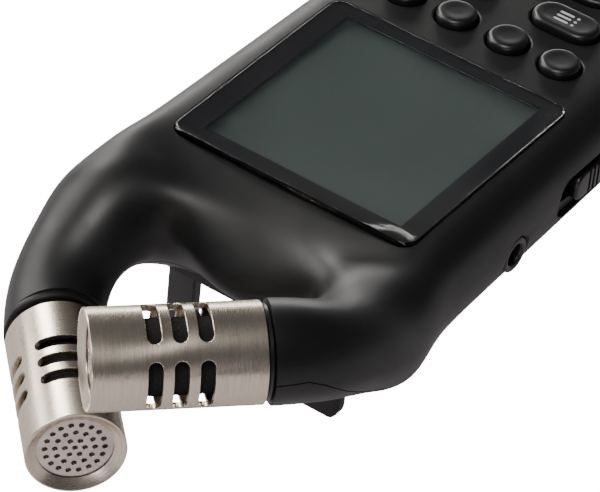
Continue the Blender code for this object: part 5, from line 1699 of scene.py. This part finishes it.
@dataclass
class Back:
    """The stand, feet, tripod socket, screws and speaker."""

    door_half: float = 11.8
    door_near: float = -70.5
    door_floor: float = 1.8
    door_thickness: float = 1.6
    groove_pitch: float = 2.0
    bay_depth: float = 4.0
    speaker_y: float = -63.2
    speaker_pitch: float = 2.8
    tripod_y: float = -51.0
    stand_half: float = 16.4
    stand_leg: float = 5.1
    stand_thickness: float = 2.2
    stand_drop: float = 16.6
    knuckle: float = 1.8
    pin: float = 0.9
    foot_x: float = 15.6
    foot_y: float = -115.0
    pocket_floor: float = -15.6
    pocket_near: float = -24.8
    pocket_length: float = 19.1

    def screws(self) -> list[tuple[float, float]]:
        """Places of the four case screws."""
        return [(side * x, y) for x, y in ((21.6, -29.5), (21.0, -112.5)) for side in (-1, 1)]

    @staticmethod
    def trimmed(bm: BMesh) -> BMesh:
        """Cuts a shape in the case's frame flat where it meets the ground."""
        inverse = CASE.to_world.inverted()
        down = (inverse.to_3x3() @ Vector((0, 0, -1))).normalized()
        return halved(bm, inverse @ Vector(), down)

    def build_stand(self) -> None:
        """A U-shaped loop with rounded edges that turns on two pins."""
        drop, half = self.stand_drop, self.stand_thickness / 2
        edge = 0.35
        levels = [(-edge, -half), (-edge / 3, edge / 3 - half), (0, edge - half), (0, half - edge)]
        levels += [(-edge / 3, half - edge / 3), (-edge, half)]
        length = drop + 6.0
        plate = shifted(tower(2 * self.stand_half, length, levels, 3.3, 8), 0, length / 2 - drop)
        opening, reach = 2 * (self.stand_half - self.stand_leg), 40.0
        lips = [(edge, -half - 1.0), (edge, -half), (0, edge - half)]
        lips += [(0, half - edge), (edge, half), (edge, half + 1)]
        hole = shifted(tower(opening, reach, lips, 1.6, 6), 0, reach / 2 + self.stand_leg - drop)
        loop = halved(carve(plate, [hole]), Vector(), Vector((0, 1, 0)))
        loop = turned_about(loop, "X", QUARTER)
        knuckles = []
        for side in (-1, 1):
            low, high = self.stand_half - self.stand_leg, self.stand_half
            levels = [(-0.2, low), (0, low + 0.2), (0, high - 0.2), (-0.2, high)]
            rod = tower(2 * self.knuckle, 2 * self.knuckle, levels, self.knuckle, 10)
            knuckles.append(turned_about(rod, "Y", side * QUARTER))
        bores = []
        for side in (-1, 1):
            bore = tower(2 * self.pin, 2 * self.pin, [(0, 1.0), (0, 20.0)], self.pin, 6)
            bores.append(turned_about(bore, "Y", side * QUARTER))
        loop = carve(carve(loop, knuckles, "UNION"), bores)
        loop = self.trimmed(shifted(loop, *CaseFrame.HINGE))
        Bench.add("stand_loop", loop, BLACK_GLOSS, "stand", ["stand"], Slot.CASE)
        Bench.dress(STEEL, "stand_pin_left", "stand_pin_right")

    def build_feet(self) -> None:
        """Two round rubber feet, flat where they rest."""
        diameter = 5.2
        levels = [(-0.5, -22.6), (-0.15, -22.3), (0, -21.8), (0, -19.5)]
        for name, side in (("left", -1), ("right", 1)):
            foot = tower(diameter, diameter, levels, diameter / 2, 10)
            foot = self.trimmed(shifted(foot, side * self.foot_x, self.foot_y))
            Bench.add(f"foot_{name}", foot, RUBBER, "case", [f"rear_foot_{name}"], Slot.RUBBER)

    def build_screws(self) -> None:
        """Four case screws with a cross recess."""
        seat, head, turned_by = -17.5, 4.2, 0.3
        levels = [(-1.5, -9.0), (-1.1, -8.5), (-1.1, 0.0), (0, 0.0), (0, 0.9), *rounding(0.5, 1.5, 4)]
        for number, (x, y) in enumerate(self.screws(), 1):
            screw = tower(head, head, levels, head / 2, 8)
            slots = [
                turned_about(tower(2.6, 0.5, [(-0.12, 0.7), (0.04, 2.0)]), "Z", turn)
                for turn in (turned_by * number, turned_by * number + QUARTER)
            ]
            screw = carve(screw, slots)
            place = Matrix.Translation((x, y, seat)) @ Matrix.Rotation(math.pi, 4, "Y")
            name = f"case_screw_{number}"
            Bench.add(f"screw_{number}", placed(screw, place), DARK_SCREW, "case", [name], Slot.STEEL)

    def build_tripod_socket(self) -> None:
        """The brass insert with its thread."""
        bore, radius, low, high = 3.25, 4.5, -19.9, -14.4
        pitch, turns = 1.27, 3.4
        profile = [(bore + 0.45, low), (radius - 0.1, low), (radius, low + 0.1)]
        profile += [(radius, high), (bore, high), (bore, low + 0.45)]
        ring = turned(profile, 64)
        root, crest = bore + 0.02, bore - 0.3
        thread = coil([(root, -0.42), (root, 0.42), (crest, 0.06), (crest, -0.06)], pitch, turns, 40)
        insert = shifted(joined([ring, shifted(thread, z=low + 0.9)]), 0, self.tripod_y)
        Bench.add("tripod_socket", insert, BRASS, "case", ["tripod_insert"], Slot.BRASS)

    def build(self) -> None:
        """Builds everything on the back."""
        self.build_stand()
        self.build_feet()
        self.build_screws()
        self.build_tripod_socket()
        Bench.dress(BLACK_GLOSS, "speaker")


@dataclass
class Power:
    """Two dry cells, their springs and contacts."""

    diameter: float = 10.5
    length: float = 44.5
    nub: float = 0.9

    def build(self) -> None:
        """Builds the cells and springs."""
        for name, side in (("left", -1), ("right", 1)):
            middle = CASE.middle(f"battery_{name}")
            place = Matrix.Translation(middle) @ Matrix.Rotation(side * QUARTER, 4, "X")
            self.build_cell(name, place)
            self.build_spring(name, side, middle)
        Bench.dress(STEEL, "battery_contact_front", "battery_contact_tail")

    def build_cell(self, name: str, place: Matrix) -> None:
        """A sleeve shrunk over a can, with a nub at its positive end."""
        radius, half = self.diameter / 2, self.length / 2
        top, edge = half - self.nub, 0.4
        profile = [(radius - 1.0, -half + 0.05), (radius - 0.35, -half), (radius, edge - half)]
        profile += [(radius, top - edge), (radius - 0.35, top), (radius - 1.0, top - 0.05)]
        sleeve = turned([*profile, (radius - 1.0, 0.0)], 56)
        unrolled = sleeve.loops.layers.uv.new("unrolled")
        for face in sleeve.faces:
            for loop in face.loops:
                loop[unrolled].uv = (loop.vert.co.z + half, math.atan2(loop.vert.co.y, loop.vert.co.x))
        Bench.add(f"cell_sleeve_{name}", sleeve, SLEEVE, "case", [f"battery_{name}"], Slot.CELL, place)
        can, sunk = radius - 1.05, 0.2
        profile = [(0, sunk - half), (can, sunk - half), (can, top - sunk), (1.9, top - sunk)]
        profile += [(1.85, half - 0.2), (1.6, half), (0, half)]
        body = turned(profile, 48, closed=False)
        Bench.add(f"cell_can_{name}", body, STEEL, "case", [], Slot.CELL, place)

    def build_spring(self, name: str, side: int, middle: Vector) -> None:
        """A short coil pressed against the cell's flat end."""
        steps, wire, radius = 10, 0.25, 2.9
        pitch, turns = 0.36, 2.4
        angles = [math.tau * step / steps for step in range(steps)]
        section = [(radius + wire * math.cos(angle), wire * math.sin(angle)) for angle in angles]
        spring = coil(section, pitch, turns, 32)
        base = middle.y + side * (self.length / 2 + 1.4)
        place = Matrix.Translation((middle.x, base, middle.z)) @ Matrix.Rotation(side * QUARTER, 4, "X")
        Bench.add(f"coil_{name}", spring, STEEL, "case", [f"battery_spring_{name}"], Slot.STEEL, place)


# -------------------------------------------------------------------------------------------- Studio


@dataclass
class SoftBox:
    """One rectangular area light, placed in the model's frame and pointed at the object."""

    name: str
    place: tuple[float, float, float]
    size: tuple[float, float]
    power: float
    colour: Colour = (1.0, 1.0, 1.0)

    def build(self, target: Vector) -> None:
        """Adds the light."""
        lamp = bpy.data.lights.new(self.name, "AREA")
        lamp.shape = "RECTANGLE"
        lamp.size, lamp.size_y = self.size
        lamp.energy = self.power
        lamp.color = self.colour
        made = bpy.data.objects.new(self.name, lamp)
        made.location = self.place
        made.rotation_euler = (target - made.location).to_track_quat("-Z", "Y").to_euler()
        bpy.context.scene.collection.objects.link(made)


@dataclass
class Studio:
    """A pale floor, soft lights and the camera."""

    floor_size: float = 6.0
    focal: float = 239.65
    sensor: float = 36.0
    target: tuple[float, float, float] = (0.0, 0.02, 0.03)  # what the lights point at
    sky: tuple[float, float, float, float] = (0.9, 0.92, 1.0, 1.0)
    sky_strength: float = 0.1
    floor_strength: float = 16.0
    eye: tuple[float, float, float] = (-245.69, 365.19, 366.73)  # in the case's frame
    right: tuple[float, float, float] = (-0.8123, -0.5770, 0.0849)
    forward: tuple[float, float, float] = (0.4051, -0.6632, -0.6294)

    def build(self) -> None:
        """Adds the floor, the lights, the world and the camera."""
        self.build_floor()
        target = Vector(self.target)
        for light in (
            SoftBox("left_box", (0.95, 0.15, 0.6), (0.45, 0.9), 11.0, (1.0, 0.97, 0.93)),
            SoftBox("back_box", (0.86, -0.44, 0.6), (0.28, 0.35), 6.0, (1.0, 0.97, 0.93)),
            SoftBox("horizon_box", (0.8, -0.92, 0.1), (1.0, 0.16), 5.5, (1.0, 0.98, 0.95)),
            SoftBox("top_box", (-0.1, 0.5, 1.2), (0.5, 0.3), 10.0, (1.0, 0.98, 0.95)),
            SoftBox("low_box", (-0.55, 1.1, 0.25), (0.6, 0.2), 2.5, (1.0, 0.9, 0.97)),
        ):
            light.build(target)
        world = bpy.data.worlds.new("studio")
        world.use_nodes = True
        background = world.node_tree.nodes["Background"]
        background.inputs["Color"].default_value = self.sky
        background.inputs["Strength"].default_value = self.sky_strength
        bpy.context.scene.world = world
        self.build_camera()

    def build_floor(self) -> None:
        """A broad pale floor at the height that the recorder rests on."""
        bm = bmesh.new()
        bmesh.ops.create_grid(bm, x_segments=8, y_segments=8, size=self.floor_size / 2)
        mesh = bpy.data.meshes.new("floor")
        bm.to_mesh(mesh)
        bm.free()
        made = bpy.data.materials.new("pale_floor")
        made.use_nodes = True
        graph = Graph(made.node_tree)
        shader = made.node_tree.nodes["Principled BSDF"]
        cloud = graph.noise(graph.add("TexCoord").outputs["Object"], 3.0, 3.0)
        colour = graph.mix(cloud, (0.45, 0.44, 0.45, 1.0), (0.48, 0.475, 0.48, 1.0))
        graph.tree.links.new(colour, shader.inputs["Base Color"])
        seen = graph.add("LightPath").outputs["Is Camera Ray"]
        glow = graph.mix(seen, (0.013, 0.0115, 0.0125, 1), (1, 1, 1, 1))
        graph.tree.links.new(glow, shader.inputs["Emission Color"])
        shader.inputs["Emission Strength"].default_value = self.floor_strength
        shader.inputs["Roughness"].default_value = 0.9
        mesh.materials.append(made)
        floor = bpy.data.objects.new("floor", mesh)
        bpy.context.scene.collection.objects.link(floor)

    def build_camera(self) -> None:
        """The camera, from the case's frame to the model's."""
        turn = CASE.to_world.to_3x3().normalized()
        forward = turn @ Vector(self.forward)
        right = turn @ Vector(self.right)
        up = right.cross(forward)
        lens = bpy.data.cameras.new("camera")
        lens.lens = self.focal
        lens.sensor_width = self.sensor
        lens.clip_start, lens.clip_end = 0.01, 20.0
        camera = bpy.data.objects.new("camera", lens)
        pose = Matrix((right, up, -forward)).transposed().to_4x4()
        camera.matrix_world = Matrix.Translation(CASE.to_world @ Vector(self.eye)) @ pose
        bpy.context.scene.collection.objects.link(camera)
        bpy.context.scene.camera = camera


def main() -> None:
    """Builds the recorder's looks and the studio."""
    logging.basicConfig(level=logging.INFO, format="%(message)s")
    CaseShells().build()
    for side in (-1, 1):
        Microphone(side).build()
    Display().build()
    Keypad().build()
    Flanks().build()
    Back().build()
    Power().build()
    Studio().build()


if __name__ == "__main__":
    main()
